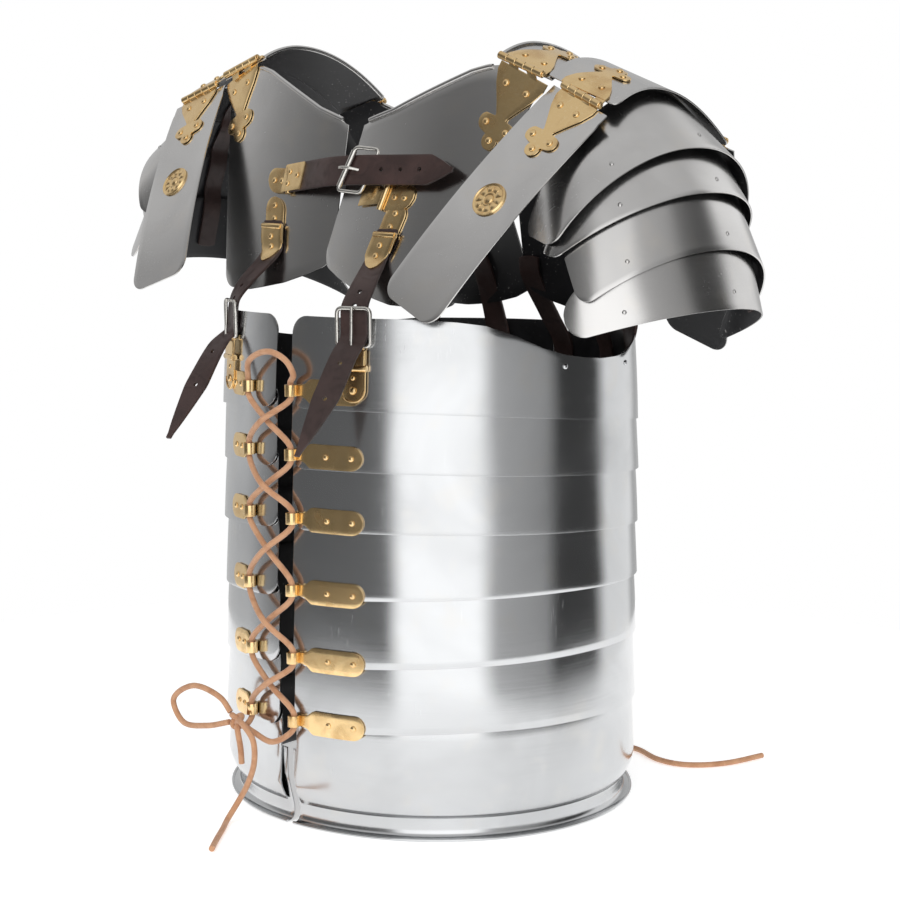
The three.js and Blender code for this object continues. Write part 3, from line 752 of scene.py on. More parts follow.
@dataclass(frozen=True)
class StrapLeather(Finish):
    """Dark oiled strap leather with a tight grain."""

    def build(self, nodes: Nodes) -> Material:
        """Builds leather: pores, creases across the strap and paler worn areas.

        Args:
            nodes: The new material's nodes.

        Returns:
            The material.
        """
        pores = nodes.new("TexVoronoi", {"Vector": nodes.coords, "Scale": 1500.0}).outputs[0]
        creases = nodes.noise(70.0, 5.0, Distortion=1.4)
        worn = nodes.noise(28.0, 3.0)
        pale = tuple(c * 2.1 for c in self.colour)
        dark = tuple(c * 0.6 for c in self.colour)
        colour = nodes.blend(nodes.map_range(worn, 0.0, 0.7, 0.45, 0.75), self.colour, pale)
        colour = nodes.blend(nodes.map_range(creases, 0.0, 0.8, 0.5, 0.75), colour, dark)
        rough = nodes.map_range(creases, 0.32, 0.55, 0.3, 0.7)
        normal = nodes.bump(pores, 0.35, 0.00012)
        normal = nodes.bump(creases, 0.4, 0.0006, normal)
        return nodes.finish(colour, rough, normal)


@dataclass(frozen=True)
class RawLace(Finish):
    """Untreated round lace, tan and slightly furry."""

    def build(self, nodes: Nodes) -> Material:
        """Builds raw leather: soft fibres, darker streaks and a light sheen.

        Args:
            nodes: The new material's nodes.

        Returns:
            The material.
        """
        fibres = nodes.noise(1400.0, 3.0)
        streaks = nodes.noise(90.0, 4.0, Distortion=1.0)
        dark = (self.colour[0] * 0.68, self.colour[1] * 0.55, self.colour[2] * 0.45)
        pale = (min(1.0, self.colour[0] * 1.2), self.colour[1] * 1.3, self.colour[2] * 1.4)
        colour = nodes.blend(nodes.map_range(streaks, 0.0, 0.8, 0.45, 0.75), self.colour, dark)
        colour = nodes.blend(nodes.map_range(fibres, 0.0, 0.5, 0.5, 0.8), colour, pale)
        rough = nodes.map_range(fibres, 0.62, 0.85)
        normal = nodes.bump(fibres, 0.5, 0.0003)
        normal = nodes.bump(streaks, 0.4, 0.0007, normal)
        return nodes.finish(colour, rough, normal, **{"Sheen Weight": 0.25})


HOOP_STEEL = SheetSteel(
    slot="steel", colour=(0.66, 0.67, 0.68), inside=BlackenedSteel("steel", (0.012, 0.012, 0.013)),
    smooth=0.13, smudged=0.24, grain=0.05,
)
PLATE_STEEL = SheetSteel(
    slot="satin_steel", colour=(0.71, 0.70, 0.69),
    inside=BlackenedSteel("satin_steel", (0.010, 0.010, 0.011)),
    smooth=0.17, smudged=0.27, grain=0.04,
)
GOLDEN_BRASS = WornBrass("brass", (0.90, 0.65, 0.33))
PLATED_WIRE = BuckleWire("nickel", (0.70, 0.68, 0.64))
DARK_LEATHER = StrapLeather("leather", (0.034, 0.019, 0.017))
TAN_LACE = RawLace("lace", (0.56, 0.30, 0.165))


@dataclass
class Girdle:
    """Girth hoops round the waist, open at the front and the back."""

    half_width: float = 177.0
    half_depth: float = 169.0
    mean_radius: float = 173.0
    taper: float = 0.042
    strip: float = 66.0
    corner: float = 14.0
    back_edge: float = 535.0
    edge_bevel: float = 0.35
    front_edges: dict = field(default_factory=lambda: {Side.LEFT: 15.0, Side.RIGHT: 1.5})
    # Lower edge at the axis, its rise to the left and to the back, and the tie loop's height
    hoops: tuple = (
        (320.0, 0.035, -0.091, 350.0),
        (277.0, 0.031, -0.068, 300.0),
        (230.0, 0.045, -0.058, 250.0),
        (181.0, 0.061, -0.025, 193.0),
        (130.0, 0.062, -0.005, 139.0),
        (76.0, 0.064, -0.02, 88.0),
    )
    # Top edge of the highest hoop: angle from the front and height
    top_edge: tuple = (
        (0, 408), (40, 407), (50, 405), (58, 402), (66, 394), (74, 384), (81, 378), (88, 375), (96, 373),
        (104, 373), (111, 376), (117, 380), (124, 384), (132, 386), (180, 387),
    )
    # Sections of the two lowest hoops: height and how far the outer face is drawn in
    wall_seven: tuple = (
        (17, 7), (21, 4.6), (25, 2.6), (29, 1.0), (34, 0), (50, 0.7), (64, 1.3), (80, 2.2), (94, 2.9),
    )
    wall_eight: tuple = (
        (1.3, 1.5), (1.4, 4.0), (1.7, 6.5), (3.0, 8.6), (5, 9.6), (8, 10), (12, 10), (18, 8.7), (24, 7.1),
        (32, 5.0), (40, 3.3), (50, 3.0), (62, 3.0),
    )
    rim_bead: float = 1.25
    unevenness: float = 1.6
    barrel: float = 0.3
    waviness: float = 0.35
    # Arc lengths of the rivets under the arm, and how far they lie below the top edge
    arm_rivets: tuple = (244, 330)
    arm_rivet_drop: float = 9.0

    def surface(self, side: Side, inset: Callable[[float, float], float]) -> Surface:
        """Outer form of the girdle, with slight unevenness.

        Args:
            side: Of the armour.
            inset: How far the face is drawn in, by angle and height.

        Returns:
            The surface, by arc length from the front centre and height.
        """

        def at(s: float, z: float) -> Vector:
            """Point of the form.

            Args:
                s: Arc length from the front centre.
                z: Height.

            Returns:
                The point.
            """
            turn = s / self.mean_radius
            drawn = inset(turn, z)
            wave = Vector((side.value * math.sin(turn), -math.cos(turn), z / 150)) * 2.2
            drawn -= self.waviness * noise.noise(wave)
            x = side.value * (self.half_width - drawn) * math.sin(turn)
            return Vector((x, -(self.half_depth - drawn) * math.cos(turn), z))

        return Surface(at, lambda p: Vector((p.x, p.y, 0)))

    def edge_height(self, number: int, side: Side, turn: float) -> float:
        """Height of a hoop's lower edge.

        Args:
            number: Its number, from 0 at the top.
            side: Of the armour.
            turn: Angle from the front.

        Returns:
            The height.
        """
        edge, rise_left, rise_back, _ = self.hoops[number]
        x = side.value * self.half_width * math.sin(turn)
        return edge + rise_left * x - rise_back * self.half_depth * math.cos(turn)

    def hoop_surface(self, number: int, side: Side) -> Surface:
        """Outer face of one of the six upper hoops, barrelled and uneven at its lower edge.

        Args:
            number: Its number, from 0 at the top.
            side: Of the armour.

        Returns:
            The surface.
        """

        def inset(turn: float, z: float) -> float:
            """How far the face is drawn in.

            Args:
                turn: Angle from the front.
                z: Height.

            Returns:
                The distance.
            """
            rise = clamp((z - self.edge_height(number, side, turn)) / self.strip, 0, 1.3)
            seed = Vector((turn * 2.3, side.value * 4.0 + number * 3.7, 0.5))
            push = clamp(0.5 + noise.noise(seed), 0, 1) * self.unevenness * max(0.0, 1 - rise)
            return self.taper * self.strip * rise - self.barrel * 4 * rise * max(0.0, 1 - rise) - push

        return self.surface(side, inset)

    def build(self) -> None:
        """Builds every hoop on both sides."""
        for side in Side:
            for number in range(len(self.hoops)):
                self._upper_hoop(number, side)
            self._wall_hoop(7, side, self.wall_seven, self.front_edges[side])
            self._wall_hoop(8, side, self.wall_eight, self.front_edges[side] - 5)

    def _upper_hoop(self, number: int, side: Side) -> None:
        """Builds a hoop with rounded corners, and the scoop under the arm on the top one.

        Args:
            number: Its number, from 0 at the top.
            side: Of the armour.
        """
        rows = []
        for s, cut in corner_rows(self.front_edges[side], self.back_edge, 110, self.corner):
            turn = s / self.mean_radius
            low = self.edge_height(number, side, turn)
            high = low + self.strip
            if number == 0:
                high = from_table(self.top_edge, math.degrees(turn))
            rows.append(Row(s, low + cut, high - cut))
        surface = self.hoop_surface(number, side)
        shape = Shape().sheet(surface, rows, 12)
        if number == 0:
            for s in self.arm_rivets:
                edge = from_table(self.top_edge, math.degrees(s / self.mean_radius))
                shape.rivet(surface, s, edge - self.arm_rivet_drop, 0.0, 2.2)
        name = f"hoop_{number + 1}_{side.word}"
        shape.piece(f"steel_{name}", HOOP_STEEL, replaces=[f"girth_{name}"], bevel=self.edge_bevel)

    def _wall_hoop(self, number: int, side: Side, wall: tuple, front: float) -> None:
        """Builds one of the two lowest hoops from its section.

        Args:
            number: Of the hoop, from the top.
            side: Of the armour.
            wall: Its section.
            front: Arc length where its front edge lies.
        """
        surface = self.surface(side, lambda turn, z: z)
        places = spread(front, self.back_edge, 110)
        outer_line = [Vector((inset, z)) for z, inset in wall]
        inner_line = []
        for i, point in enumerate(outer_line):
            along = outer_line[min(i + 1, len(wall) - 1)] - outer_line[max(i - 1, 0)]
            along.normalize()
            inner = point + Vector((along.y, -along.x)) * STEEL
            inner_line.append(Vector((inner.x, max(0.1, inner.y))))

        def ring(line: list[Vector]) -> list[Vector]:
            """Points of one face, place by place."""
            return [Vector((*surface.at(s, p.x).xy, p.y)) for s in places for p in line]

        shape = Shape()
        shape.grid(ring(outer_line), ring(inner_line), len(places), len(wall))
        if number == 8:
            bead = [Vector((*surface.at(s, 2.4).xy, self.rim_bead + 0.1)) for s in places]
            shape.tube(bead, self.rim_bead, 10)
        name = f"hoop_{number}_{side.word}"
        shape.piece(f"steel_{name}", HOOP_STEEL, replaces=[f"girth_{name}"], bevel=self.edge_bevel)


def shoulder_point(side: Side, x: float, y: float, z: float) -> Vector:
    """Point of the leaning shoulder set, for one side."""
    return Vector((side.value * x, y, z - LEAN * side.value * x))


def lean_direction(side: Side, direction: Vector) -> Vector:
    """Direction of the leaning shoulder set, for one side."""
    return shoulder_point(side, *direction)


@dataclass
class Chest:
    """Breast and back plates with rolled neck edges."""

    # Share of the width from the centre line, lower edge, upper edge
    breast: tuple = (
        (0, 446, 558), (0.1, 441, 563), (0.2, 436, 568), (0.4, 428, 583), (0.6, 423, 598),
        (0.68, 421.3, 601.5), (0.74, 420, 602), (1, 420, 586),
    )
    back: tuple = (
        (0, 418, 536), (0.2, 408, 542), (0.4, 402, 553), (0.6, 398, 568), (0.68, 396.8, 574),
        (0.74, 396, 578), (1, 396, 565),
    )
    back_rise: float = 34.0
    roll_radius: float = 1.9
    roll_start: float = 0.035
    roll_end: float = 0.7
    # x of the centre edge and of the outer edge, at the foot's height and a span above it
    foot_z: float = 430.0
    span_z: float = 170.0
    centre_edge: tuple = (-6, 17)
    outer_edge: tuple = (120, 186)
    # Curve across a plate: height, middle and half-width, and how deep its middle lies
    crown: tuple = (5.0, 65.0, 70.0)
    crown_depth: float = 2.0
    # Slope up a plate about a height, and y of both faces there
    slope: float = 0.3125
    slope_z: float = 558.0
    front_y: float = -82.0
    back_y: float = 95.0

    def surface(self, side: Side, back: bool) -> Surface:
        """Face of the chest.

        Args:
            side: Of the armour.
            back: Whether it is the back.

        Returns:
            The surface, by share of the width and height.
        """
        lift = self.back_rise if back else 0.0
        proud = CENTRE_LAP if side is Side.LEFT else 0.0

        def at(share: float, z: float) -> Vector:
            """Point of the face.

            Args:
                share: Of the width, from the centre line.
                z: Height.

            Returns:
                The point.
            """
            t = (z + lift - self.foot_z) / self.span_z
            x = mix(mix(*self.centre_edge, t), mix(*self.outer_edge, t), share)
            rise, middle, reach = self.crown
            crown = rise * ((x - middle) / reach) ** 2 - self.crown_depth
            slope = self.slope * (z + lift - self.slope_z)
            y = self.back_y - slope - crown if back else self.front_y + slope + crown
            return shoulder_point(side, x, y - proud, z)

        return Surface(at, lambda p: Vector((0, 1 if back else -1, 0)), (0.004, 0.5))

    def build(self) -> None:
        """Builds the four plates."""
        for side in Side:
            self._plate("breastplate", self.breast, side, False)
            self._plate("backplate", self.back, side, True)

    def _plate(self, name: str, outline: tuple, side: Side, back: bool) -> None:
        """Builds one plate and the roll along its neck.

        Args:
            name: Of the plate.
            outline: Heights of its edges across the width.
            side: Of the armour.
            back: Whether it is a back plate.
        """
        surface = self.surface(side, back)
        rows = []
        for s, cut in corner_rows(0, CHEST_WIDTH, 44, 11):
            share = s / CHEST_WIDTH
            top = 0 if share > 0.5 else min(cut, 3)
            rows.append(Row(share, from_table(outline, share) + cut, from_table(outline, share, 2) - top))
        shape = Shape().sheet(surface, rows, 16)
        shares = spread(self.roll_start, self.roll_end, 40)
        neck = [surface.lifted(share, from_table(outline, share, 2) - 0.9, 0.4) for share in shares]
        shape.tube(neck, self.roll_radius, 12)
        node = f"{name}_{side.word}"
        shape.piece(f"steel_{node}", PLATE_STEEL, replaces=[node], bevel=0.35)


@dataclass
class Shoulders:
    """Collar plates, hanging guards and lames over both shoulders."""

    guard_length: float = 204.0
    guard_width: float = 64.0
    guard_bulge: float = 6.0
    corner: float = 14.0
    overlap: float = 0.7
    step_in: float = 4.6
    # Hinge point, direction down the plate and across it
    front_guard: tuple = ((220.5, -65, 580), (-0.363, -0.535, -0.764), (0.93, -0.13, -0.345))
    back_guard: tuple = ((220.5, 81, 556.2), (-0.34, 0.42, -0.84), (0.93, 0.1, -0.33))
    # x and z of an edge's ends, x and z over the shoulder, reach to the front and back
    lame_top: tuple = (200, 500, 238, 586.9, 88, 88)
    lame_edges: tuple = (
        (235, 466, 285, 545, 112, 107), (217, 447, 298, 513, 112, 110), (232, 401, 306, 472, 118, 116),
        (205, 387, 312, 429, 119, 119),
    )
    # Ends in degrees from the top, and how far the front end leans forward along the upper edge
    lame_ends: tuple = ((86, 82, 8), (79, 84, 6.5), (66, 84, 6), (64, 86, 9))
    lame_radius: float = 115.0
    # Ends along y and edges along x, of the collar plate and of the top guard plate
    collar_ends: tuple = (-62, 78)
    collar_edges: tuple = (137, 189)
    top_ends: tuple = (-61, 75)
    top_edges: tuple = (184.5, 250)
    # Leathers under the lames, in radians from the top
    leather_turns: tuple = (-0.75, 0.1, 0.95)

    @staticmethod
    def height(x: float, y: float) -> float:
        """Height of the collar over the shoulder.

        Args:
            x: Distance from the middle.
            y: Place from front to back.

        Returns:
            The height.
        """
        crest = -22
        fall = 0.0068 if y < crest else 0.004
        return 619 - fall * (y - crest) ** 2 - 0.34 * (x - 139)

    def collar(self, side: Side) -> Surface:
        """Face of the mid collar plate.

        Args:
            side: Of the armour.

        Returns:
            The surface, by y and x.
        """
        return Surface(
            lambda y, x: shoulder_point(side, x, y, self.height(x, y)), lambda p: Vector((0, 0, 1))
        )

    def top(self, side: Side, lift: float = 0.0) -> Surface:
        """Face of the top guard plate, which arches off the collar.

        Args:
            side: Of the armour.
            lift: How far it stands above the plate.

        Returns:
            The surface, by y and x.
        """

        def at(y: float, x: float) -> Vector:
            """Point at y and x."""
            arch = 5 * math.cos((y - 8) / 72 * math.pi / 2)
            return shoulder_point(side, x, y, self.height(x, y) + 0.5 + arch + lift)

        return Surface(at, lambda p: Vector((0, 0, 1)))

    @staticmethod
    def guard_axes(guard: tuple) -> tuple[Vector, Vector, Vector, Vector]:
        """Axes of a guard.

        Args:
            guard: Its hinge point and two directions.

        Returns:
            Its hinge point, and the directions along, across and out of it.
        """
        hinge, along, across = (Vector(v) for v in guard)
        along.normalize()
        across = (across - along * across.dot(along)).normalized()
        return hinge, along, across, along.cross(across)

    def guard(self, side: Side, guard: tuple) -> Surface:
        """Face of a hanging guard plate.

        Args:
            side: Of the armour.
            guard: Its hinge point and two directions.

        Returns:
            The surface, by distance from its hinge and place across.
        """
        hinge, along, across, out = self.guard_axes(guard)
        facing = -1 if out.y * (-1 if hinge.y < 0 else 1) < 0 else 1

        def at(s: float, a: float) -> Vector:
            """Point of the plate.

            Args:
                s: Distance from the hinge.
                a: Place across the plate.

            Returns:
                The point.
            """
            bulge = 4 * self.guard_bulge * s * (self.guard_length - s) / self.guard_length**2
            p = hinge + along * s + across * a + out * facing * (bulge - 2.4)
            return shoulder_point(side, *p)

        return Surface(at, lambda p: lean_direction(side, out * facing))

    def _arc(self, edge: tuple, turn: float) -> Vector:
        """Point of a lame's edge.

        Args:
            edge: A row of lame_edges.
            turn: Angle from the top.

        Returns:
            The point, before the shoulders lean.
        """
        x_end, z_end, x_top, z_top, front, back = edge
        reach = front if turn < 0 else back
        c, s = math.cos(turn), math.sin(max(turn, -math.pi / 2))
        return Vector((mix(x_end, x_top, c), SHOULDER_CENTRE_Y + reach * s, mix(z_end, z_top, c)))

    def _upper(self, number: int, turn: float) -> Vector:
        """Point of a lame's upper edge, under the one above.

        Args:
            number: Its number, from 0 at the top.
            turn: Angle from the top.

        Returns:
            The point, before the shoulders lean.
        """
        if number == 0:
            return self._arc(self.lame_top, turn)
        point = self._upper(number - 1, turn).lerp(self._arc(self.lame_edges[number - 1], turn), self.overlap)
        c = math.cos(turn)
        return point + Vector((-0.75 * c - 0.25, -math.sin(turn), -0.5 * c)).normalized() * self.step_in

    def lame(self, side: Side, number: int) -> Surface:
        """Face of a lame.

        Args:
            side: Of the armour.
            number: Its number, from 0 at the top.

        Returns:
            The surface, by angle from the top and share of its width.
        """
        slant = math.radians(self.lame_ends[number][2])

        def at(turn: float, w: float) -> Vector:
            """Point of the lame.

            Args:
                turn: Angle from the top.
                w: Share of the width, from the upper edge.

            Returns:
                The point.
            """
            place = turn - slant * turn * turn * (1 - w) if turn < 0 else turn
            lower = self._arc(self.lame_edges[number], place)
            return shoulder_point(side, *self._upper(number, place).lerp(lower, w))

        def outward(p: Vector) -> Vector:
            """Away from the arm."""
            return Vector((p.x - side.value * 150, p.y - SHOULDER_CENTRE_Y, p.z - 400))

        return Surface(at, outward, (0.01, 0.01))

    def build(self) -> None:
        """Builds both shoulders."""
        for side in Side:
            self._collar_plates(side)
            self._guards(side)
            for number in range(len(self.lame_edges)):
                self._lame(side, number)
            for number, turn in enumerate(self.leather_turns):
                self._lame_leather(side, number, turn)

    def _collar_plates(self, side: Side) -> None:
        """Builds the mid collar plate with its rolled neck edge, and the top guard plate.

        Args:
            side: Of the armour.
        """
        node = f"mid_collar_plate_{side.word}"
        collar = self.collar(side)
        rows = [Row(s, *self.collar_edges) for s, _ in corner_rows(*self.collar_ends, 48, 3, 4)]
        shape = Shape().sheet(collar, rows, 12)
        roll = spread(self.collar_ends[0] + 1, self.collar_ends[1] - 1, 48)
        shape.tube([collar.lifted(y, self.collar_edges[0] + 0.6, 0.4) for y in roll], 1.9, 12)
        shape.piece(f"steel_{node}", PLATE_STEEL, replaces=[node], bevel=0.3)
        node = f"guard_top_{side.word}"
        near, far = self.top_edges
        rows = [Row(s, near + cut * 0.3, far - cut) for s, cut in corner_rows(*self.top_ends, 48, 6, 6)]
        shape = Shape().sheet(self.top(side), rows, 16, STEEL)
        shape.piece(f"steel_{node}", PLATE_STEEL, replaces=[node], bevel=0.35)

    def _guards(self, side: Side) -> None:
        """Builds the hanging front and back guard plates.

        Args:
            side: Of the armour.
        """
        half = self.guard_width / 2
        for place, guard in (("front", self.front_guard), ("back", self.back_guard)):
            rows = []
            for s, cut in corner_rows(3.2, self.guard_length, 48, self.corner):
                inset = cut if s > self.guard_length / 2 else min(cut, 0.8)
                rows.append(Row(s, -half + inset, half - inset))
            node = f"guard_{place}_{side.word}"
            shape = Shape().sheet(self.guard(side, guard), rows, 14)
            body = f"{place}_guard_{side.word}"
            shape.piece(f"steel_{node}", PLATE_STEEL, body, [node], bevel=0.35)

    def _lame(self, side: Side, number: int) -> None:
        """Builds one lame with rounded corners.

        Args:
            side: Of the armour.
            number: Its number, from 0 at the top.
        """
        front, back, _ = self.lame_ends[number]
        low, high = -math.radians(front) * self.lame_radius, math.radians(back) * self.lame_radius
        surface = self.lame(side, number)
        rows = []
        for s, cut in corner_rows(low, high, 80, self.corner):
            turn = s / self.lame_radius
            width = (surface.at(turn, 0) - surface.at(turn, 1)).length
            inset = min(0.45, cut / width)
            rows.append(Row(turn, inset, 1 - inset))
        node = f"shoulder_lame_{number + 1}_{side.word}"
        shape = Shape().sheet(surface, rows, 14)
        for turn in self.leather_turns:
            shape.rivet(surface, turn, 0.78, 0.0, 1.7)
        shape.piece(f"steel_{node}", PLATE_STEEL, replaces=[node], bevel=0.35)

    def _lame_leather(self, side: Side, number: int, turn: float) -> None:
        """Builds one leather that the lames hang from.

        Args:
            side: Of the armour.
            number: Of the leather, from the front.
            turn: Where it runs, in radians from the top.
        """
        centres, widths = [], []
        for lame in range(len(self.lame_edges)):
            surface = self.lame(side, lame)
            for w in (0.12, 0.62, 0.8) if lame == len(self.lame_edges) - 1 else (0.12, 0.55):
                centres.append(surface.lifted(turn, w, -STEEL - LEATHER / 2 - 0.8))
                widths.append((surface.at(turn + 0.02, w) - surface.at(turn - 0.02, w)).normalized())
        band = Band(centres, widths, Vector((side.value, 0, 0.5)))
        shape = Shape().sheet(band.surface(), Band.rows(9.0, 0.02, 70), 7, LEATHER / 2, LEATHER)
        shape.piece(f"leather_lames_{number + 1}_{side.word}", DARK_LEATHER, bevel=0.4)


@dataclass
class LobedHinge:
    """Brass hinge with a shield-shaped leaf on each plate, ending in three lobes."""

    barrel_radius: float = 3.0
    lobe_radius: float = 6.4
    side_lobe: tuple = (44.0, 10.0)
    end_lobe: float = 54.0
    start: float = 3.2
    # Distance from the barrel and half-width of the shield
    shield: tuple = ((3.2, 21), (9, 21), (18, 17), (29, 9.5), (36, 5), (54, 4.6))
    upper_rivets: tuple = (15.0, 9.5)
    knuckle_gap: float = 0.35

    def half_width(self, s: float) -> float:
        """Half-width of the leaf.

        Args:
            s: Distance from the barrel.

        Returns:
            Half of its width there.
        """
        half = from_table(self.shield, s) if s <= self.end_lobe else 0.0
        place, aside = self.side_lobe
        reach = self.lobe_radius**2 - (s - place) ** 2
        if reach > 0:
            half = max(half, aside + math.sqrt(reach))
        reach = self.lobe_radius**2 - (s - self.end_lobe) ** 2
        return max(half, math.sqrt(reach)) if reach > 0 else half

    def leaf(
        self,
        shape: Shape,
        surface: Surface,
        place: Callable[[float, float], tuple[float, float]],
        barrel: tuple[Vector, Vector],
        knuckles: Sequence[tuple[float, float]],
    ) -> None:
        """Adds a leaf with its rivets and knuckles.

        Args:
            shape: The piece that it belongs to.
            surface: Face of the plate that carries it.
            place: Gives the surface's coordinates for a distance from the barrel and a place across.
            barrel: Ends of the barrel's axis.
            knuckles: Shares of the barrel that belong to this leaf.
        """
        end = self.end_lobe + self.lobe_radius - 0.15
        rows = []
        for s in spread(self.start, end, 76):
            half = self.half_width(s)
            along, low = place(s, -half)
            rows.append(Row(along, low, place(s, half)[1]))
        shape.sheet(surface, rows, 7, LEAF_LIFT, BRASS)
        spots = [(s, way * a) for s, a in (self.upper_rivets, self.side_lobe) for way in (-1, 1)]
        spots.append((self.end_lobe, 0.0))
        for s, a in spots:
            shape.rivet(surface, *place(s, a), LEAF_LIFT)
        axis = barrel[1] - barrel[0]
        for low, high in knuckles:
            length = axis.length * (high - low) - self.knuckle_gap
            ends = ((self.barrel_radius - 0.4, 0.0), (self.barrel_radius, 0.35))
            profile = list(ends) + [(r, length - h) for r, h in reversed(ends)]
            foot = barrel[0] + axis * low + axis.normalized() * (self.knuckle_gap / 2)
            shape.turned(foot, axis, profile, 24)
            self._tab(shape, surface, place, barrel, (low, high))

    def _tab(self, shape: Shape, surface: Surface, place: Callable, barrel: tuple, share: tuple) -> None:
        """Adds the tab between a knuckle and the leaf.

        Args:
            shape: The piece that it belongs to.
            surface: Face of the plate that carries the leaf.
            place: Coordinates on that face, for a distance from the barrel and a place across.
            barrel: Ends of the barrel's axis.
            share: Shares of the barrel that the knuckle takes.
        """
        corners, half = [], self.shield[0][1]
        for part in share:
            along, across = place(self.start + 1.5, mix(-half, half, part))
            on_leaf = surface.lifted(along, across, LEAF_LIFT - BRASS / 2)
            corners.append((barrel[0].lerp(barrel[1], part), on_leaf))
        (a, far_a), (b, far_b) = corners
        normal = (b - a).cross(far_a - a).normalized() * (BRASS * 0.45)
        flat = (a, b, far_a, far_b)
        shape.grid([p + normal for p in flat], [p - normal for p in flat], 2, 2)

    def pin(self, shape: Shape, barrel: tuple[Vector, Vector]) -> None:
        """Adds the pin through the barrel, with its peened ends.

        Args:
            shape: The piece that it belongs to.
            barrel: Ends of the barrel's axis.
        """
        axis = (barrel[1] - barrel[0]).normalized()
        length = (barrel[1] - barrel[0]).length
        profile = [(1.2, -0.9), (1.9, -0.5), (1.9, 0.0), (1.6, 0.1), (1.6, length - 0.1), (1.9, length)]
        shape.turned(barrel[0], axis, profile + [(1.9, length + 0.5), (1.2, length + 0.9)], 16)


OUTER_KNUCKLES = ((0, 0.2), (0.4, 0.6), (0.8, 1))
INNER_KNUCKLES = ((0.2, 0.4), (0.6, 0.8))


@dataclass
class Hinges:
    """The eight lobed hinges of the shoulders."""

    chest: Chest
    shoulders: Shoulders
    hinge: LobedHinge = field(default_factory=LobedHinge)
    chest_share: float = 0.885
    front_line: float = -66.0
    rear_line: float = 82.0
    barrel_rise: float = 4.2
    edge_fall: float = 62.0

    def build(self) -> None:
        """Builds all hinges on both sides."""
        for side in Side:
            self._collar_hinge(side, False)
            self._collar_hinge(side, True)
            self._guard_hinge(side, False)
            self._guard_hinge(side, True)

    def _collar_hinge(self, side: Side, rear: bool) -> None:
        """Builds the hinge between a chest plate and the collar plate.

        Args:
            side: Of the armour.
            rear: Whether it is the one at the back.
        """
        line = self.rear_line if rear else self.front_line
        rise = self.barrel_rise - (1.5 if rear else 0.0)
        height = self.shoulders.height
        barrel = tuple(shoulder_point(side, x, line, height(x, line) + rise) for x in (140, 184))
        chest = self.chest.surface(side, rear)
        top = 582.0 if rear else 608.0
        flipped = Surface(
            lambda z, share: chest.at(share, z - (share - 0.74) * self.edge_fall), chest.outward,
            (chest.step[1], chest.step[0]),
        )

        def on_chest(s: float, a: float) -> tuple[float, float]:
            """Place on the chest plate."""
            return top - s, self.chest_share + a * PER_MM

        def on_collar(s: float, a: float) -> tuple[float, float]:
            """Place on the collar plate."""
            return (line - s if rear else line + s), 162 + a

        shape = Shape()
        self.hinge.leaf(shape, flipped, on_chest, barrel, INNER_KNUCKLES)
        self.hinge.leaf(shape, self.shoulders.collar(side), on_collar, barrel, OUTER_KNUCKLES)
        self.hinge.pin(shape, barrel)
        replaced = [] if rear else [f"collar_hinge_{side.word}"]
        name = f"brass_collar_hinge_{'rear' if rear else 'front'}_{side.word}"
        shape.piece(name, GOLDEN_BRASS, replaces=replaced, bevel=0.2)

    def _guard_hinge(self, side: Side, rear: bool) -> None:
        """Builds the two halves of a guard's hinge, the lower one moving with the guard.

        Args:
            side: Of the armour.
            rear: Whether it is the one at the back.
        """
        guard = self.shoulders.back_guard if rear else self.shoulders.front_guard
        point, _, across, _ = self.shoulders.guard_axes(guard)
        barrel = tuple(shoulder_point(side, *(point + across * reach)) for reach in (-22, 22))
        line = 81.5 if rear else -65.0

        def on_top(s: float, a: float) -> tuple[float, float]:
            """Place on the top guard plate."""
            return (line - s * 0.8 if rear else line + s * 0.8), 220 + a

        top, low = Shape(), Shape()
        self.hinge.leaf(top, self.shoulders.top(side, STEEL), on_top, barrel, OUTER_KNUCKLES)
        self.hinge.pin(top, barrel)
        self.hinge.leaf(low, self.shoulders.guard(side, guard), lambda s, a: (s, a), barrel, INNER_KNUCKLES)
        place = "back" if rear else "front"
        nodes = (f"guard_hinge_top_leaf_{side.word}", f"guard_hinge_front_leaf_{side.word}")
        name = f"brass_guard_{place}_{{}}_leaf_{side.word}"
        upper, lower = ([], []) if rear else (nodes[:1], nodes[1:])
        top.piece(name.format("upper"), GOLDEN_BRASS, replaces=upper, bevel=0.2)
        low.piece(name.format("lower"), GOLDEN_BRASS, f"{place}_guard_{side.word}", lower, bevel=0.2)


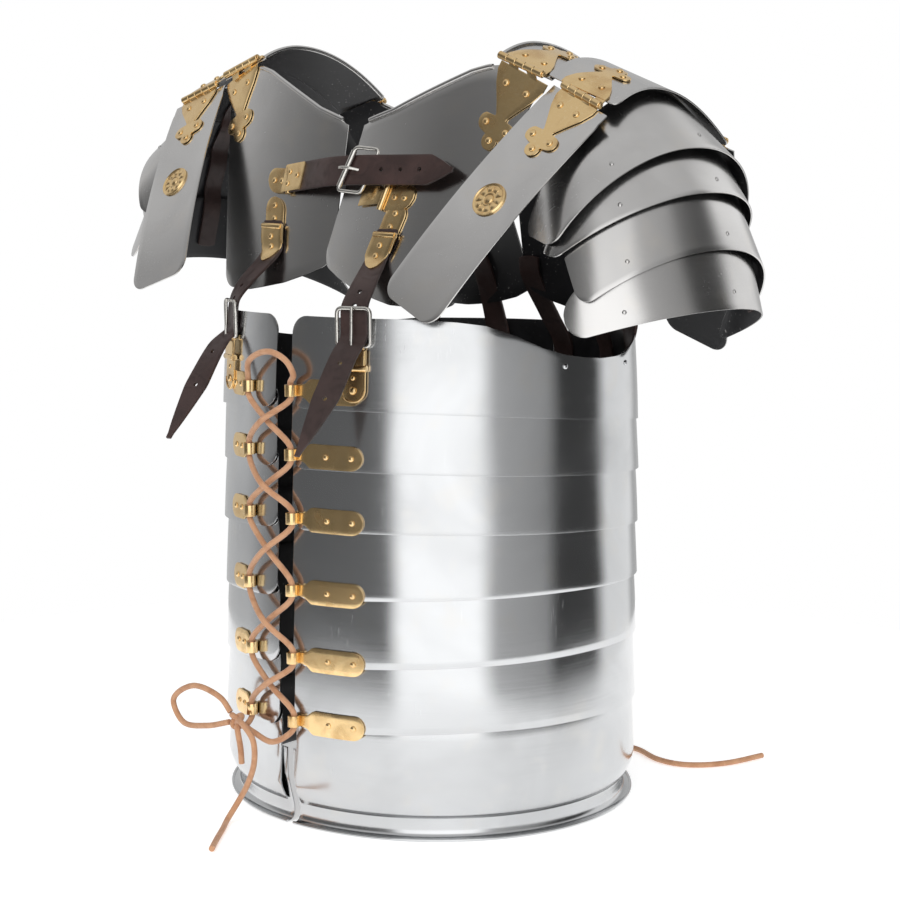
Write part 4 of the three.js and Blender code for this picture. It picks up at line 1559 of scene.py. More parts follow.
@dataclass
class Bosses:
    """Round brass bosses with a plain rosette, one on each front guard."""

    shoulders: Shoulders
    radius: float = 13.7
    distance: float = 103.0
    petals: int = 10
    base: float = 0.8

    def build(self) -> None:
        """Builds the two bosses."""
        for side in Side:
            surface = self.shoulders.guard(side, self.shoulders.front_guard)
            foot = surface.lifted(self.distance, 0, 0.1)
            axis = surface.normal(self.distance, 0)
            u = (surface.at(self.distance + 5, 0) - surface.at(self.distance, 0)).normalized()
            u = (u - axis * u.dot(axis)).normalized()
            v = axis.cross(u)
            shape, rings, steps = Shape(), 34, 120
            turns = [2 * math.pi * k / steps for k in range(steps)]
            spokes = [u * math.cos(turn) + v * math.sin(turn) for turn in turns]
            for i in range(rings):
                r = self.radius * (1 - i / (rings - 0.6))
                for turn, spoke in zip(turns, spokes):
                    shape.verts.append(foot + spoke * r + axis * (self.base + self._relief(r, turn)))
            under = len(shape.verts)
            shape.verts += [foot + spoke * self.radius for spoke in spokes]
            after = [(k + 1) % steps for k in range(steps)]
            for i in range(rings - 1):
                for k in range(steps):
                    a, b = i * steps + k, i * steps + after[k]
                    shape.faces.append((a, b, b + steps, a + steps))
            shape.faces += [(k, under + k, under + after[k], after[k]) for k in range(steps)]
            shape.faces.append(tuple((rings - 1) * steps + k for k in range(steps)))
            shape.faces.append(tuple(under + k for k in reversed(range(steps))))
            shape.piece(f"brass_boss_{side.word}", GOLDEN_BRASS, f"front_guard_{side.word}")

    def _relief(self, r: float, turn: float) -> float:
        """Height of the rosette: rim, petals and a centre knob.

        Args:
            r: Distance from the centre.
            turn: Angle round it.

        Returns:
            The height.
        """
        share = r / self.radius
        rim = 1.1 * math.exp(-(((share - 0.93) / 0.05) ** 2))
        bead = 0.5 * math.exp(-(((share - 0.36) / 0.05) ** 2))
        petal = 0.9 * abs(math.cos(self.petals / 2 * turn)) ** 0.6 * math.exp(-(((share - 0.62) / 0.17) ** 2))
        knob = 1.5 * math.sqrt(max(0.0, 1 - (share / 0.27) ** 2))
        return rim + bead + petal + knob


@dataclass
class TieLoops:
    """Riveted brass plates with rolled loops for the laces, front and back."""

    girdle: Girdle
    outer: float = 4.8
    inner: float = 3.5
    height: float = 9.0
    plate: float = 19.0
    neck_half: float = 4.3
    front: dict = field(default_factory=lambda: {Side.LEFT: (19.0, 80.0), Side.RIGHT: (31.0, 70.0)})
    back_ring: float = 519.0
    back_end: float = 459.0
    back_rise: float = 20.0

    def spot(self, number: int, side: Side, back: bool) -> tuple[float, float, float]:
        """Where a loop and its plate lie.

        Args:
            number: Its number, from 0 at the top.
            side: Of the armour.
            back: Whether it is at the back.

        Returns:
            Arc of the loop, arc of the plate's end, and height.
        """
        if not back:
            return (*self.front[side], self.girdle.hoops[number][3])
        turn = self.back_ring / self.girdle.mean_radius
        return self.back_ring, self.back_end, self.girdle.edge_height(number, side, turn) + self.back_rise

    def centre(self, number: int, side: Side, back: bool = False) -> Vector:
        """Where a lace runs through a loop."""
        s, _, z = self.spot(number, side, back)
        return self.girdle.hoop_surface(number, side).lifted(s, z, GAP + self.outer)

    def build(self) -> None:
        """Builds all loops, front and back."""
        for side in Side:
            for number in range(len(self.girdle.hoops)):
                for back in (False, True):
                    self._loop(number, side, back)

    def _loop(self, number: int, side: Side, back: bool) -> None:
        """Builds one plate with its rivets, neck and rolled loop.

        Args:
            number: Its number, from 0 at the top.
            side: Of the armour.
            back: Whether it is at the back.
        """
        surface = self.girdle.hoop_surface(number, side)
        ring, end, z = self.spot(number, side, back)
        way = 1 if end > ring else -1
        length = abs(end - ring)
        half = self.plate / 2
        profile = [(1.2, self.neck_half), (7, self.neck_half), (11, 5.4), (16, half), (length - half, half)]
        places = spread(1.2, length - half, 30)
        places += [length - half + half * math.sin(math.pi / 2 * t) for t in spread(0.08, 0.998, 12)]
        rows = []
        for d in places:
            wide = from_table(profile, d)
            if d > length - half:
                wide = math.sqrt(max(0.02, half**2 - (d - length + half) ** 2))
            rows.append(Row(ring + way * d, z - wide, z + wide))
        shape = Shape().sheet(surface, rows, 6, LEAF_LIFT, BRASS)
        for d in (length * 0.5, length - half * 0.95):
            shape.rivet(surface, ring + way * d, z, LEAF_LIFT, 2.3)
        centre = self.centre(number, side, back)
        top = self.height / 2
        profile = [(self.inner, -top), (self.outer, -top), (self.outer, top), (self.inner, top)]
        self._rolled(shape, centre, profile)
        word = "back" if back else "front"
        replaced = [] if back else [f"tie_loop_{number + 1}_{side.word}"]
        shape.piece(f"brass_tie_{word}_{number + 1}_{side.word}", GOLDEN_BRASS, replaces=replaced, bevel=0.2)

    @staticmethod
    def _rolled(shape: Shape, centre: Vector, profile: Sequence[tuple], sides: int = 28) -> None:
        """Adds the rolled loop as a short upright tube with a wall.

        Args:
            shape: The piece that it belongs to.
            centre: Of the loop.
            profile: Its section, as pairs of radius and height.
            sides: Steps round it.
        """
        start, count = len(shape.verts), len(profile)
        for k in range(sides):
            turn = 2 * math.pi * k / sides
            out = Vector((math.cos(turn), math.sin(turn), 0))
            shape.verts += [centre + out * radius + Vector((0, 0, height)) for radius, height in profile]
        for k in range(sides):
            for i in range(count):
                a, b = start + k * count + i, start + k * count + (i + 1) % count
                c, d = start + (k + 1) % sides * count + (i + 1) % count, start + (k + 1) % sides * count + i
                shape.faces.append((a, b, c, d))


@dataclass
class Lacing:
    """Round leather laces through the loops, front and back."""

    loops: TieLoops
    front_knot: tuple = (-37, -184, 80)
    back_knot: tuple = (12, 174.6, 77)
    # Where the strands cross, one before the other
    front_crossing: tuple = (-180.8, -175.2)
    back_crossing: tuple = (178.6, 173.6)
    arch: tuple = ((27, -176, 363), (23, -179, 373), (8, -180.5, 379.5), (-8, -180, 378), (-24, -178, 370))
    start: tuple = ((-37, -184, 80), (-30, -183, 76))
    end: tuple = ((0, -178, 68), (-20, -180, 72), (-37, -184, 80))
    bow: tuple = (
        (-42.6, -186, 86), (-52, -188, 96), (-85, -190, 101), (-112, -190, 84), (-100, -190, 68),
        (-70, -189, 70), (-44.2, -186, 77.4),
    )
    short_tail: tuple = ((-33.4, -187, 76.4), (-30, -189, 72), (-27, -189, 60), (-27, -188, 47))
    long_tail: tuple = (
        (-30.6, -187.6, 82), (-22, -190, 80), (-9, -191, 70), (-9, -190, 52), (-17, -190, 33),
        (-28, -192, 15), (-27, -203, 4.5), (-14, -219, 2.7), (2, -238, 2.7), (17, -255, 2.7),
    )
    back_tail: tuple = (
        (14, 170.6, 70), (15, 171.4, 36), (26, 178, 12), (50, 187, 3), (78, 186, 2.7), (110, 174, 2.7),
        (132, 175, 2.7), (148, 186, 2.7), (162, 208, 3), (172, 245, 4),
    )

    def build(self) -> None:
        """Builds the free tails first, then the strands held by the loops."""
        self._free("lace_long_tail", self.long_tail)
        self._free("lace_short_tail", self.short_tail)
        self._free("lace_bow_loop", self.bow)
        self._free("lace_back_tail", self.back_tail, ["back_lace_tail"])
        self._front()
        self._back()

    def _free(self, name: str, points: tuple, replaces: Sequence[str] = ()) -> None:
        """Args:
            name: Of the piece.
            points: Of its route.
            replaces: The nodes that it stands for.
        """
        line = route(points, 12)

        def declare(item: bpy.types.Object) -> None:
            """Args:
                item: The lace. Not used.
            """

        Shape().tube(line, LACE_RADIUS, 14).piece(name, TAN_LACE, replaces=replaces, declare=declare)

    def _strand(self, first: Side, crossing: float, back: bool) -> list[Vector]:
        """Route up through the loops from side to side.

        Args:
            first: Side of the lowest loop.
            crossing: y where it crosses the gap.
            back: Whether it runs at the back.

        Returns:
            Its points, from the lowest loop up.
        """
        line: list[Vector] = []
        side = first
        for number in reversed(range(len(self.loops.girdle.hoops))):
            centre = self.loops.centre(number, side, back)
            if line:
                middle = (line[-1] + centre - Vector((0, 0, 6.5))) / 2
                line.append(Vector((middle.x, crossing, middle.z)))
            line += [centre + Vector((0, 0, rise)) for rise in (-6.5, 0, 6.5)]
            side = Side(-side.value)
        return line

    def _knot(self, shape: Shape, centre: tuple, size: float = 2.15) -> None:
        """Adds a pulled knot, as three lobes wound through each other.

        Args:
            shape: The piece that it belongs to.
            centre: Of the knot.
            size: Of its lobes.
        """
        line = []
        for turn in spread(0, 2 * math.pi, 61):
            across = math.sin(turn) + 2 * math.sin(2 * turn)
            up = math.cos(turn) - 2 * math.cos(2 * turn)
            line.append(Vector(centre) + Vector((across, -1.1 * math.sin(3 * turn), up * 0.9)) * size)
        shape.tube(line, LACE_RADIUS * 0.96, 12)

    def _front(self) -> None:
        """Builds the front strands and their knot."""
        up = self._strand(Side.RIGHT, self.front_crossing[0], False)
        down = self._strand(Side.LEFT, self.front_crossing[1], False)[::-1]
        points = [*self.start, *up, *self.arch, *down, *self.end]
        shape = Shape().tube(route(points, 6), LACE_RADIUS, 14)
        self._knot(shape, self.front_knot)
        shape.piece("lace_front", TAN_LACE, replaces=["front_lace"])

    def _back(self) -> None:
        """Builds the back strands and their knot."""
        knot = Vector(self.back_knot)
        up = self._strand(Side.RIGHT, self.back_crossing[0], True)
        down = self._strand(Side.LEFT, self.back_crossing[1], True)[::-1]
        top = (up[-1] + down[0]) / 2 + Vector((0, 1.5, 10))
        points = [knot, *up, top, *down, knot + Vector((1.5, 1.0, 0.5))]
        shape = Shape().tube(route(points, 6), LACE_RADIUS, 14)
        self._knot(shape, self.back_knot, 1.9)
        shape.piece("lace_back", TAN_LACE)


@dataclass
class Band:
    """A strap laid along stations, each a centre and the direction of its width."""

    centres: list[Vector]
    widths: list[Vector]
    facing: Vector = field(default_factory=lambda: Vector((0, -1, 0.2)))

    def surface(self) -> Surface:
        """Middle face of the strap.

        Returns:
            The surface, by share of its length and millimetres across.
        """
        line = route(self.centres, 16)
        last = len(line) - 1
        spans = len(self.centres) - 1

        def at(t: float, a: float) -> Vector:
            """Point of the strap.

            Args:
                t: Share of the length.
                a: Place across.

            Returns:
                The point.
            """
            place = clamp(t, 0, 1) * last
            i = min(last - 1, int(place))
            station = clamp(t, 0, 1) * spans
            k = min(spans - 1, int(station))
            wide = self.widths[k].lerp(self.widths[k + 1], station - k)
            return line[i].lerp(line[i + 1], place - i) + wide * a

        return Surface(at, lambda p: self.facing, (0.004, 0.5))

    @staticmethod
    def rows(half: float, tip: float, steps: int = 90) -> list[Row]:
        """Rows of a strap that ends in a point with slightly bowed sides.

        Args:
            half: Half of its width.
            tip: Share of its length that is pointed.
            steps: How many rows there are.

        Returns:
            The rows.
        """
        rows = []
        for t in spread(0.004, 0.996, steps):
            taper = max(0.1, (1 - t) / tip) ** 0.75 if t > 1 - tip else 1.0
            start = min(1.0, 0.8 + t * 20)
            rows.append(Row(t, -half * taper * start, half * taper * start))
        return rows


@dataclass
class Straps:
    """Leather straps with their brass plates and wire buckles."""

    girdle: Girdle
    chest: Chest
    front_half: float = 11.0
    chest_half: float = 12.0
    stand: float = 0.9 + LEATHER / 2
    share: float = 0.5
    arc: float = 73.0
    wire: float = 1.6
    hole: float = 1.9
    tail: tuple = ((75, -167, 380), (77, -190, 346), (77, -218, 307))
    chest_route: tuple = (
        (-66, -100.9, 512), (-36, -105, 515), (0, -110.5, 518), (32, -111, 519), (66, -108.5, 519),
        (98, -106, 519), (128, -104, 519),
    )
    buckle_spot: tuple = (32.0, -111.0, 519.0)
    buckle_lean: float = 0.3
    # Along the strap, across it, and off it
    buckle_corners: tuple = ((-9.5, -17.5, 3.8), (9.5, -17.5, -3.4), (9.5, 17.5, -3.4), (-9.5, 17.5, 3.8))
    # Tongue of the chest buckle: along the strap, across it and off it
    chest_tongue: tuple = (
        (9.5, 0, -3.4), (7, 0, -4.2), (1, 0, 0), (-6, 0, 6.2), (-11, 0, 7.2), (-15, 0, 6.6),
    )
    # Brass plate at the strap's end: share of its length and how far its corners are cut
    chest_plate: tuple = ((0.0, 0.3), (0.01, 0), (0.08, 0), (0.145, 0), (0.155, 1.0))
    # Wire of a front buckle and its tongue: across the strap, height and how far off the hoop
    front_frame: tuple = ((-13.3, 415, 5.2), (13.3, 415, 5.2), (13.3, 386, 3.2), (-13.3, 386, 3.2))
    front_tongue: tuple = ((0, 384.4, 3.4), (0, 382.6, 5.6), (0, 386, 7.2), (0, 400, 7.6), (0, 416, 8.2))
    # x of the straps inside the back
    inner_lines: tuple = (-128, -64, 7, 71, 128)

    def build(self) -> None:
        """Builds every strap."""
        for side in Side:
            self._front(side)
        self._chest()
        self._inner()

    def _front_band(self, side: Side) -> Band:
        """Lays out a front strap: down the breast plate, through its buckle and off the hoop.

        Args:
            side: Of the armour.

        Returns:
            Its stations.
        """
        chest, hoop = self.chest.surface(side, False), self.girdle.hoop_surface(0, side)
        centres, widths = [], []
        for z in (476, 463, 452):
            centres.append(chest.lifted(self.share, z, self.stand))
            widths.append(Vector((side.value, 0, 0)))
        n = hoop.normal(self.arc, 402)
        wide = (Vector((-n.y, n.x, 0)) * side.value).normalized()
        centres += [Vector((side.value * 69, -142, 430)), Vector((side.value * 71, -152, 416))]
        widths += [Vector((side.value, 0.2, 0)), wide]
        centres += [hoop.lifted(self.arc, z, self.stand) for z in (402, 393)]
        centres += [Vector((side.value * x, y, z)) for x, y, z in self.tail]
        turned = Vector((-0.96, -0.28, 0)) if side is Side.RIGHT else wide
        widths += [wide, wide] + [wide.lerp(turned, t).normalized() for t in (0.5, 0.9, 1.0)]
        return Band(centres, widths)

    def _leather(
        self, name: str, band: Band, half: float, tip: float, holes: Sequence[float], node: str
    ) -> None:
        """Builds a strap with punched holes.

        Args:
            name: Of the piece.
            band: Its stations.
            half: Half of its width.
            tip: Share of its length that is pointed.
            holes: Shares of its length where holes are punched.
            node: The node that it stands for.
        """
        surface = band.surface()
        shape = Shape().sheet(surface, Band.rows(half, tip), 11, LEATHER / 2, LEATHER)
        cutter = Shape()
        for t in holes:
            foot, axis = surface.lifted(t, 0, -LEATHER), surface.normal(t, 0)
            cutter.turned(foot, axis, [(self.hole, 0.0), (self.hole, LEATHER * 2)], 18)
        punch(shape.piece(name, DARK_LEATHER, replaces=[node], bevel=0.45), cutter)

    def _front(self, side: Side) -> None:
        """Builds a front strap with its plates and buckle.

        Args:
            side: Of the armour.
        """
        band = self._front_band(side)
        node = f"front_strap_{side.word}"
        self._leather(f"leather_{node}", band, self.front_half, 0.12, (0.36, 0.44, 0.8, 0.88), node)
        shape = Shape()
        chest, hoop = self.chest.surface(side, False), self.girdle.hoop_surface(0, side)
        rows = []
        for z in spread(472.5, 495, 24):
            wide = round_end(11.0, z - 484)
            rows.append(Row(z, self.share - wide * PER_MM, self.share + wide * PER_MM))
        flipped = Surface(lambda z, u: chest.at(u, z), chest.outward, (chest.step[1], chest.step[0]))
        shape.sheet(flipped, rows, 7, LEAF_LIFT, BRASS)
        for z in (477.5, 488.0):
            shape.rivet(flipped, z, self.share, LEAF_LIFT, 2.5)
        barrel = [flipped.lifted(470.8, self.share + u * PER_MM, 3.6) for u in (-11.5, 11.5)]
        shape.tube(barrel, 2.5, 16)
        surface = band.surface()
        rows = []
        for t in spread(0.03, 0.265, 26):
            far = (t - 0.18) / 0.085
            wide = 12.0 if far < 0 else 12.0 * math.sqrt(max(0.01, 1 - far**2))
            rows.append(Row(t, -wide, wide))
        shape.sheet(surface, rows, 7, LEATHER / 2 + BRASS, BRASS)
        for t, a in ((0.115, 0.0), (0.2, 0.0)):
            shape.rivet(surface, t, a, LEATHER / 2 + BRASS, 2.5)
        for bend in (-1, 1):
            shape.tube([surface.lifted(t, bend * 12.2, LEATHER / 2) for t in spread(0.035, 0.17, 8)], 0.9, 8)
        shape.piece(f"brass_front_strap_plate_{side.word}", GOLDEN_BRASS, bevel=0.2)
        self._front_buckle(side, hoop)

    def _front_buckle(self, side: Side, hoop: Surface) -> None:
        """Builds the wire buckle at the top hoop and the hinged plate that holds it.

        Args:
            side: Of the armour.
            hoop: Face of the top hoop.
        """
        wire = Shape()
        corners = [hoop.lifted(self.arc + a, z, lift) for a, z, lift in self.front_frame]
        wire.tube(rounded_loop(corners, 4.5), self.wire, 12)
        tongue = [hoop.lifted(self.arc + a, z, lift) for a, z, lift in self.front_tongue]
        wire.tube(route(tongue, 5), 1.2, 10)
        wire.piece(f"nickel_front_buckle_{side.word}", PLATED_WIRE)
        shape = Shape()
        rows = [Row(self.arc + a, 371.5, 385 - abs(a) * 0.22) for a in spread(-9.5, 9.5, 13)]
        shape.sheet(hoop, rows, 6, 4.6, BRASS)
        for bend in (-1, 1):
            edge = [hoop.lifted(self.arc + bend * 9.6, z, 3.6) for z in spread(372.5, 383.5, 6)]
            shape.tube(edge, 1.0, 8)
        shape.tube([hoop.lifted(self.arc + a, 386, 3.2) for a in (-8.5, 8.5)], 2.5, 14)
        shape.tube([hoop.lifted(self.arc + a, 369.5, 3.4) for a in (-11, 11)], 2.6, 16)
        rows = []
        for a in spread(-9.9, 9.9, 25):
            rows.append(Row(self.arc + a, 353 - math.sqrt(max(0.5, 10.0**2 - a**2)), 367.5))
        shape.sheet(hoop, rows, 9, 3.2, BRASS)
        rim = [(a, 353 - math.sqrt(max(0.0, 9.0**2 - a**2))) for a in spread(-9, 9, 25)]
        shape.tube([hoop.lifted(self.arc + a, z, 3.3) for a, z in rim], 0.7, 8)
        shape.rivet(hoop, self.arc, 362, 3.2, 1.8)
        shape.rivet(hoop, self.arc, 352.5, 3.2, 3.1)
        shape.piece(f"brass_front_buckle_plate_{side.word}", GOLDEN_BRASS, bevel=0.2)

    def _chest(self) -> None:
        """Builds the chest strap, its buckle and the hinged plates that hold both."""
        wide = Vector((0, 0.3, 0.95)).normalized()
        centres = [Vector(p) for p in self.chest_route]
        band = Band(centres, [wide] * len(centres))
        self._leather("leather_chest_strap", band, self.chest_half, 0.13, (0.62, 0.72, 0.82), "chest_strap")
        surface = band.surface()
        frame, centre = Shape(), Vector(self.buckle_spot)
        out = Vector((0, -wide.z, wide.y))

        def spot(a: float, b: float, rise: float) -> Vector:
            """Point of the leaning frame: along the strap, across it and off it."""
            return centre + Vector((a + self.buckle_lean * b, 0, 0)) + wide * b + out * rise

        frame.tube(rounded_loop([spot(*c) for c in self.buckle_corners], 3.5), self.wire, 12)
        frame.tube(route([spot(*c) for c in self.chest_tongue], 5), 1.3, 10)
        frame.tube([spot(-9.5, b, 3.8) for b in (-14.5, 14.5)], 2.3, 14)
        frame.piece("nickel_chest_buckle", PLATED_WIRE, replaces=["chest_buckle"])
        brass = Shape()
        rows = [Row(t, -11.6 + 2 * cut, 11.6 - 2 * cut) for t, cut in self.chest_plate]
        brass.sheet(surface, rows, 7, LEATHER / 2 + BRASS, BRASS)
        for t, a in ((0.045, 5.0), (0.045, -5.0), (0.11, 1.0)):
            brass.rivet(surface, t, a, LEATHER / 2 + BRASS, 2.4)
        brass.piece("brass_chest_strap_plate", GOLDEN_BRASS, bevel=0.2)
        self._chest_leaf(Side.LEFT, 0.39, 500, 27.0)
        self._chest_leaf(Side.RIGHT, 0.4, 508, 24.0)

    def _chest_leaf(self, side: Side, share: float, height: float, length: float) -> None:
        """Builds a riveted brass plate with a barrel behind the chest strap.

        Args:
            side: Of the armour.
            share: Where it starts, as a share of the breast plate's width.
            height: Of its centre line.
            length: From the barrel to its rounded end.
        """
        chest, shape = self.chest.surface(side, False), Shape()
        rows = []
        for a in spread(0, length, 24):
            wide = round_end(10.0, a - (length - 10.0))
            rows.append(Row(share + a * PER_MM, height - wide, height + wide))
        shape.sheet(chest, rows, 7, LEAF_LIFT, BRASS)
        for a in (length * 0.3, length * 0.68):
            shape.rivet(chest, share + a * PER_MM, height, LEAF_LIFT, 2.5)
        shape.tube([chest.lifted(share - 2.4 * PER_MM, height + b, 2.9) for b in (-10.5, 10.5)], 2.4, 16)
        if side is Side.LEFT:
            rows = [Row(share - a * PER_MM, height - 5 - a * 0.12, height + 7.5) for a in (5, 12, 20, 29)]
            shape.sheet(chest, rows, 7, LEAF_LIFT + 1.0, BRASS)
        shape.piece(f"brass_chest_leaf_{side.word}", GOLDEN_BRASS, bevel=0.2)

    def _inner(self) -> None:
        """Builds the leathers inside the back, laid from the hoops up to the back plates."""
        for number, x in enumerate(self.inner_lines):
            side = Side.LEFT if x > 0 else Side.RIGHT
            turn = math.pi - math.asin(abs(x) / self.girdle.half_width)
            hoop = self.girdle.hoop_surface(0, side)
            arc = turn * self.girdle.mean_radius
            n = hoop.normal(arc, 370)
            wide = Vector((-n.y, n.x, 0)).normalized()
            lower = [hoop.lifted(arc, z, -5.6) for z in (330, 350, 368)]
            share = clamp((abs(x) - 2) / 148, 0.06, 0.94)
            back = self.chest.surface(side, True)
            upper = [back.lifted(share, z, -STEEL - 2.6) for z in (432, 448)]
            middle = (lower[-1] + upper[0]) / 2 + Vector((0, 4, -6))
            centres = lower + [middle] + upper
            flat = Vector((1 if wide.x > 0 else -1, 0, 0))
            widths = [wide] * 3 + [wide.lerp(flat, 0.6).normalized(), flat, flat]
            band = Band(centres, widths, Vector((0, 1, 0)))
            shape = Shape().sheet(band.surface(), Band.rows(11.0, 0.02, 60), 9, LEATHER / 2, LEATHER)
            shape.piece(f"leather_inner_{number + 1}", DARK_LEATHER, bevel=0.4)


def rounded_loop(corners: Sequence[Vector], radius: float, steps: int = 5) -> list[Vector]:
    """Closed line with rounded corners.

    Args:
        corners: Corners of the loop in order.
        radius: How far a corner is cut along its sides.
        steps: Points through one corner.

    Returns:
        Its points, from the middle of a side round to the same place.
    """
    count = len(corners)
    line = [(corners[-1] + corners[0]) / 2]
    for i, corner in enumerate(corners):
        before = corner + (corners[i - 1] - corner).normalized() * radius
        after = corner + (corners[(i + 1) % count] - corner).normalized() * radius
        for t in spread(0, 1, steps):
            line.append(before * (1 - t) ** 2 + corner * (2 * t * (1 - t)) + after * t**2)
    return line + [line[0] + (line[1] - line[0]).normalized() * 0.01]


def punch(item: bpy.types.Object, cutter: Shape) -> None:
    """Cuts a shape out of a piece.

    Args:
        item: The piece.
        cutter: Closed forms, in the armour's millimetres.
    """
    mesh = bpy.data.meshes.new("cutter")
    mesh.from_pydata([metres(v) for v in cutter.verts], [], cutter.faces)
    work = bmesh.new()
    work.from_mesh(mesh)
    bmesh.ops.recalc_face_normals(work, faces=work.faces)
    work.to_mesh(mesh)
    work.free()
    tool = bpy.data.objects.new("cutter", mesh)
    bpy.context.scene.collection.objects.link(tool)
    change = item.modifiers.new("holes", "BOOLEAN")
    change.operation, change.object, change.solver = "DIFFERENCE", tool, "EXACT"
    bpy.context.view_layer.update()
    graph = bpy.context.evaluated_depsgraph_get()
    cut = bpy.data.meshes.new_from_object(item.evaluated_get(graph))
    item.modifiers.clear()
    item.data = cut
    cut.set_sharp_from_angle(angle=SMOOTH_ANGLE)
    bpy.data.objects.remove(tool)


@dataclass
class Studio:
    """Camera, surroundings, lights and floor."""

    camera_place: tuple = (1184.9, -1184.9, 509.2)
    camera_azimuth: float = 0.78545
    camera_swing: float = 0.0098539
    camera_fall: float = 0.1327489
    focal_length: float = 80.06
    # Brightness of the surroundings round the armour: degrees from the camera's side, and level
    bands: tuple = (
        (-180, 0.6), (-122, 0.6), (-104, 0.3), (-86, 0.13), (-30, 0.16), (-22, 1.5), (20, 1.5), (30, 0.5),
        (62, 0.36), (71, 0.05), (99, 0.06), (110, 0.95), (142, 0.95), (152, 0.45), (180, 0.6),
    )
    overhead: float = 0.62
    below: float = 0.5
    # Name, place, size and power in watts
    lights: tuple = (
        ("key", (300, -1500, 1500), (1500, 1200), 14.0),
        ("fill", (1700, 300, 900), (900, 1200), 6.0),
    )
    aim_height: float = 320.0
    floor_radius: float = 0.8
    floor_glow: float = 0.5

    def camera(self) -> None:
        """Sets the camera at the photograph's angle."""
        phi, swing, fall = self.camera_azimuth, self.camera_swing, self.camera_fall
        forward = Vector((-math.sin(phi), math.cos(phi), 0)) * math.cos(swing)
        forward += Vector((math.cos(phi), math.sin(phi), 0)) * math.sin(swing)
        direction = forward * math.cos(fall) - Vector((0, 0, math.sin(fall)))
        data = bpy.data.cameras.new("camera")
        data.lens, data.sensor_width = self.focal_length, 36.0
        data.clip_end = 50.0
        item = bpy.data.objects.new("camera", data)
        item.location = metres(self.camera_place)
        item.rotation_euler = direction.to_track_quat("-Z", "Y").to_euler()
        bpy.context.scene.collection.objects.link(item)
        bpy.context.scene.camera = item
        bpy.context.scene.view_settings.view_transform = "Standard"

    def build(self) -> None:
        """Builds the surroundings, lights and floor."""
        self._surroundings()
        for light in self.lights:
            self._light(*light)
        self._floor()

    def _surroundings(self) -> None:
        """Builds soft boxes and dark screens round the armour as a graded world."""
        world = bpy.data.worlds.new("studio")
        world.use_nodes = True
        bpy.context.scene.world = world
        tree = world.node_tree
        background = tree.nodes["Background"]

        def node(kind: str, **settings: object) -> bpy.types.Node:
            """Adds a node to the world.

            Args:
                kind: Its type name, without the leading ShaderNode.
                settings: Its own settings.

            Returns:
                The node.
            """
            made = tree.nodes.new("ShaderNode" + kind)
            for key, value in settings.items():
                setattr(made, key, value)
            return made

        coords, split = node("TexCoord"), node("SeparateXYZ")
        tree.links.new(coords.outputs["Generated"], split.inputs[0])
        turn = node("Math", operation="ARCTAN2")
        tree.links.new(split.outputs[1], turn.inputs[0])
        tree.links.new(split.outputs[0], turn.inputs[1])
        shifted = node("Math", operation="ADD")
        shifted.inputs[1].default_value = math.radians(45)
        tree.links.new(turn.outputs[0], shifted.inputs[0])
        wrapped = node("Math", operation="WRAP")
        wrapped.inputs[1].default_value, wrapped.inputs[2].default_value = math.pi, -math.pi
        tree.links.new(shifted.outputs[0], wrapped.inputs[0])
        share = node("MapRange")
        share.inputs["From Min"].default_value, share.inputs["From Max"].default_value = -math.pi, math.pi
        tree.links.new(wrapped.outputs[0], share.inputs["Value"])
        ramp = node("ValToRGB")
        elements = ramp.color_ramp.elements
        while len(elements) < len(self.bands):
            elements.new(0.5)
        for element, (degrees, level) in zip(elements, self.bands):
            element.position = (degrees + 180) / 360
            element.color = (level, level, level, 1)
        tree.links.new(share.outputs[0], ramp.inputs[0])

        def graded(lower: object, low: float, high: float, level: float) -> Socket:
            """Blends to a level by the direction's height.

            Args:
                lower: Colour below.
                low: Height where the blend starts.
                high: Height where it ends.
                level: Brightness beyond it.

            Returns:
                The colour.
            """
            height = node("MapRange", interpolation_type="SMOOTHSTEP")
            height.inputs["From Min"].default_value, height.inputs["From Max"].default_value = low, high
            tree.links.new(split.outputs[2], height.inputs["Value"])
            blend = node("Mix", data_type="RGBA")
            tree.links.new(height.outputs[0], blend.inputs[0])
            tree.links.new(lower, blend.inputs[6])
            blend.inputs[7].default_value = (level, level, level, 1)
            return blend.outputs[2]

        colour = graded(ramp.outputs["Color"], 0.45, 0.8, self.overhead)
        colour = graded(colour, -0.25, -0.5, self.below)
        seen = node("LightPath")
        final = node("Mix", data_type="RGBA")
        tree.links.new(seen.outputs["Is Camera Ray"], final.inputs[0])
        tree.links.new(colour, final.inputs[6])
        final.inputs[7].default_value = (1, 1, 1, 1)
        tree.links.new(final.outputs[2], background.inputs["Color"])

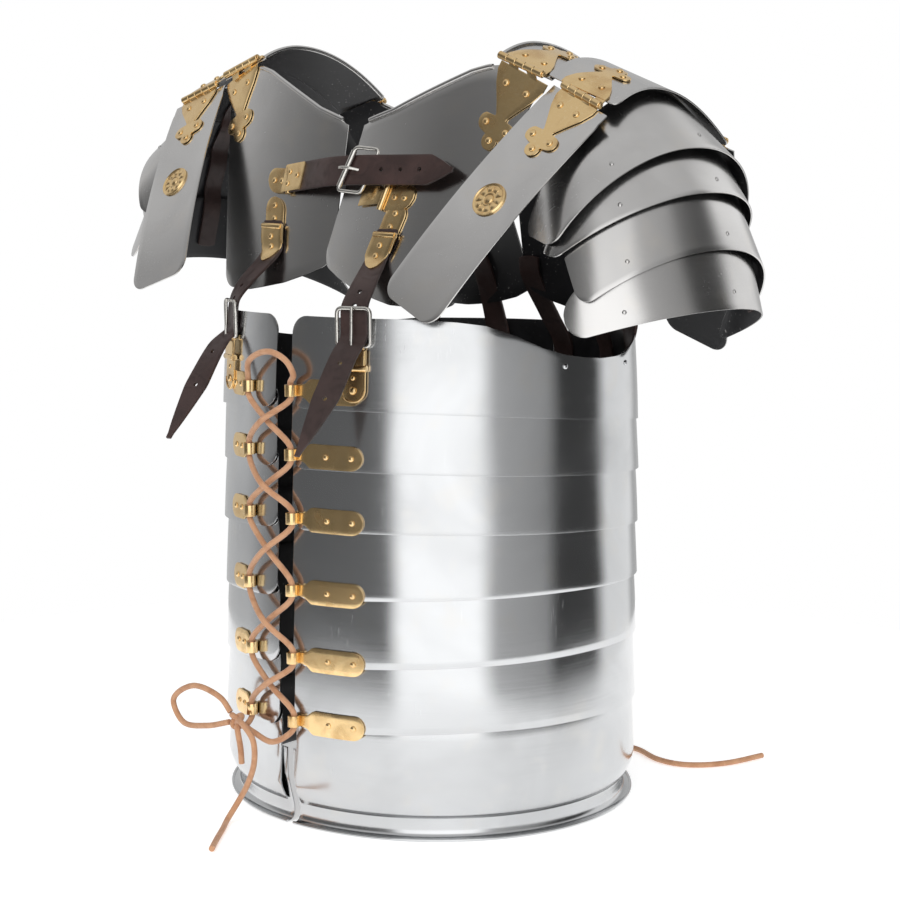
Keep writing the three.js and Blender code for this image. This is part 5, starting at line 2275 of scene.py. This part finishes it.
    def _light(self, name: str, place: tuple, size: tuple, power: float) -> None:
        """Adds a rectangular soft light that faces the armour.

        Args:
            name: Of the light.
            place: Its centre.
            size: Its width and height.
            power: In watts.
        """
        data = bpy.data.lights.new(name, "AREA")
        data.shape, data.size, data.size_y = "RECTANGLE", size[0] / 1000, size[1] / 1000
        data.energy = power
        item = bpy.data.objects.new(name, data)
        item.location = metres(place)
        aim = Vector((0, 0, self.aim_height)) - Vector(place)
        item.rotation_euler = aim.to_track_quat("-Z", "Y").to_euler()
        item.visible_glossy = False
        bpy.context.scene.collection.objects.link(item)

    def _floor(self, sides: int = 96) -> None:
        """Builds the pale round floor.

        Args:
            sides: Steps round it.
        """
        reach = self.floor_radius
        mesh = bpy.data.meshes.new("floor")
        turns = [2 * math.pi * k / sides for k in range(sides)]
        mesh.from_pydata([(reach * math.cos(t), reach * math.sin(t), 0) for t in turns], [], [range(sides)])
        nodes = Nodes("pale_floor")
        cloudy = nodes.noise(3.0, 2.0)
        colour = nodes.blend(cloudy, (0.86, 0.86, 0.86), (0.88, 0.88, 0.88))
        rough = nodes.map_range(cloudy, 0.8, 0.9)
        nodes.finish(colour, rough, nodes.bump(cloudy, 0.02, 0.001), **{"Specular IOR Level": 0.0})
        nodes.shader.inputs["Emission Color"].default_value = (1, 1, 1, 1)
        nodes.shader.inputs["Emission Strength"].default_value = self.floor_glow
        mesh.materials.append(nodes.material)
        item = bpy.data.objects.new("floor", mesh)
        bpy.context.scene.collection.objects.link(item)


def main() -> None:
    """Builds the armour and the studio, camera and laces first."""
    logging.basicConfig(level=logging.INFO, format="%(name)s: %(message)s")
    studio = Studio()
    studio.camera()
    girdle, chest, shoulders = Girdle(), Chest(), Shoulders()
    loops = TieLoops(girdle)
    parts = (
        Lacing(loops), girdle, chest, shoulders, Hinges(chest, shoulders), Bosses(shoulders), loops,
        Straps(girdle, chest), studio,
    )
    for part in parts:
        part.build()
        LOG.info("%s done", type(part).__name__)


if __name__ == "__main__":
    main()
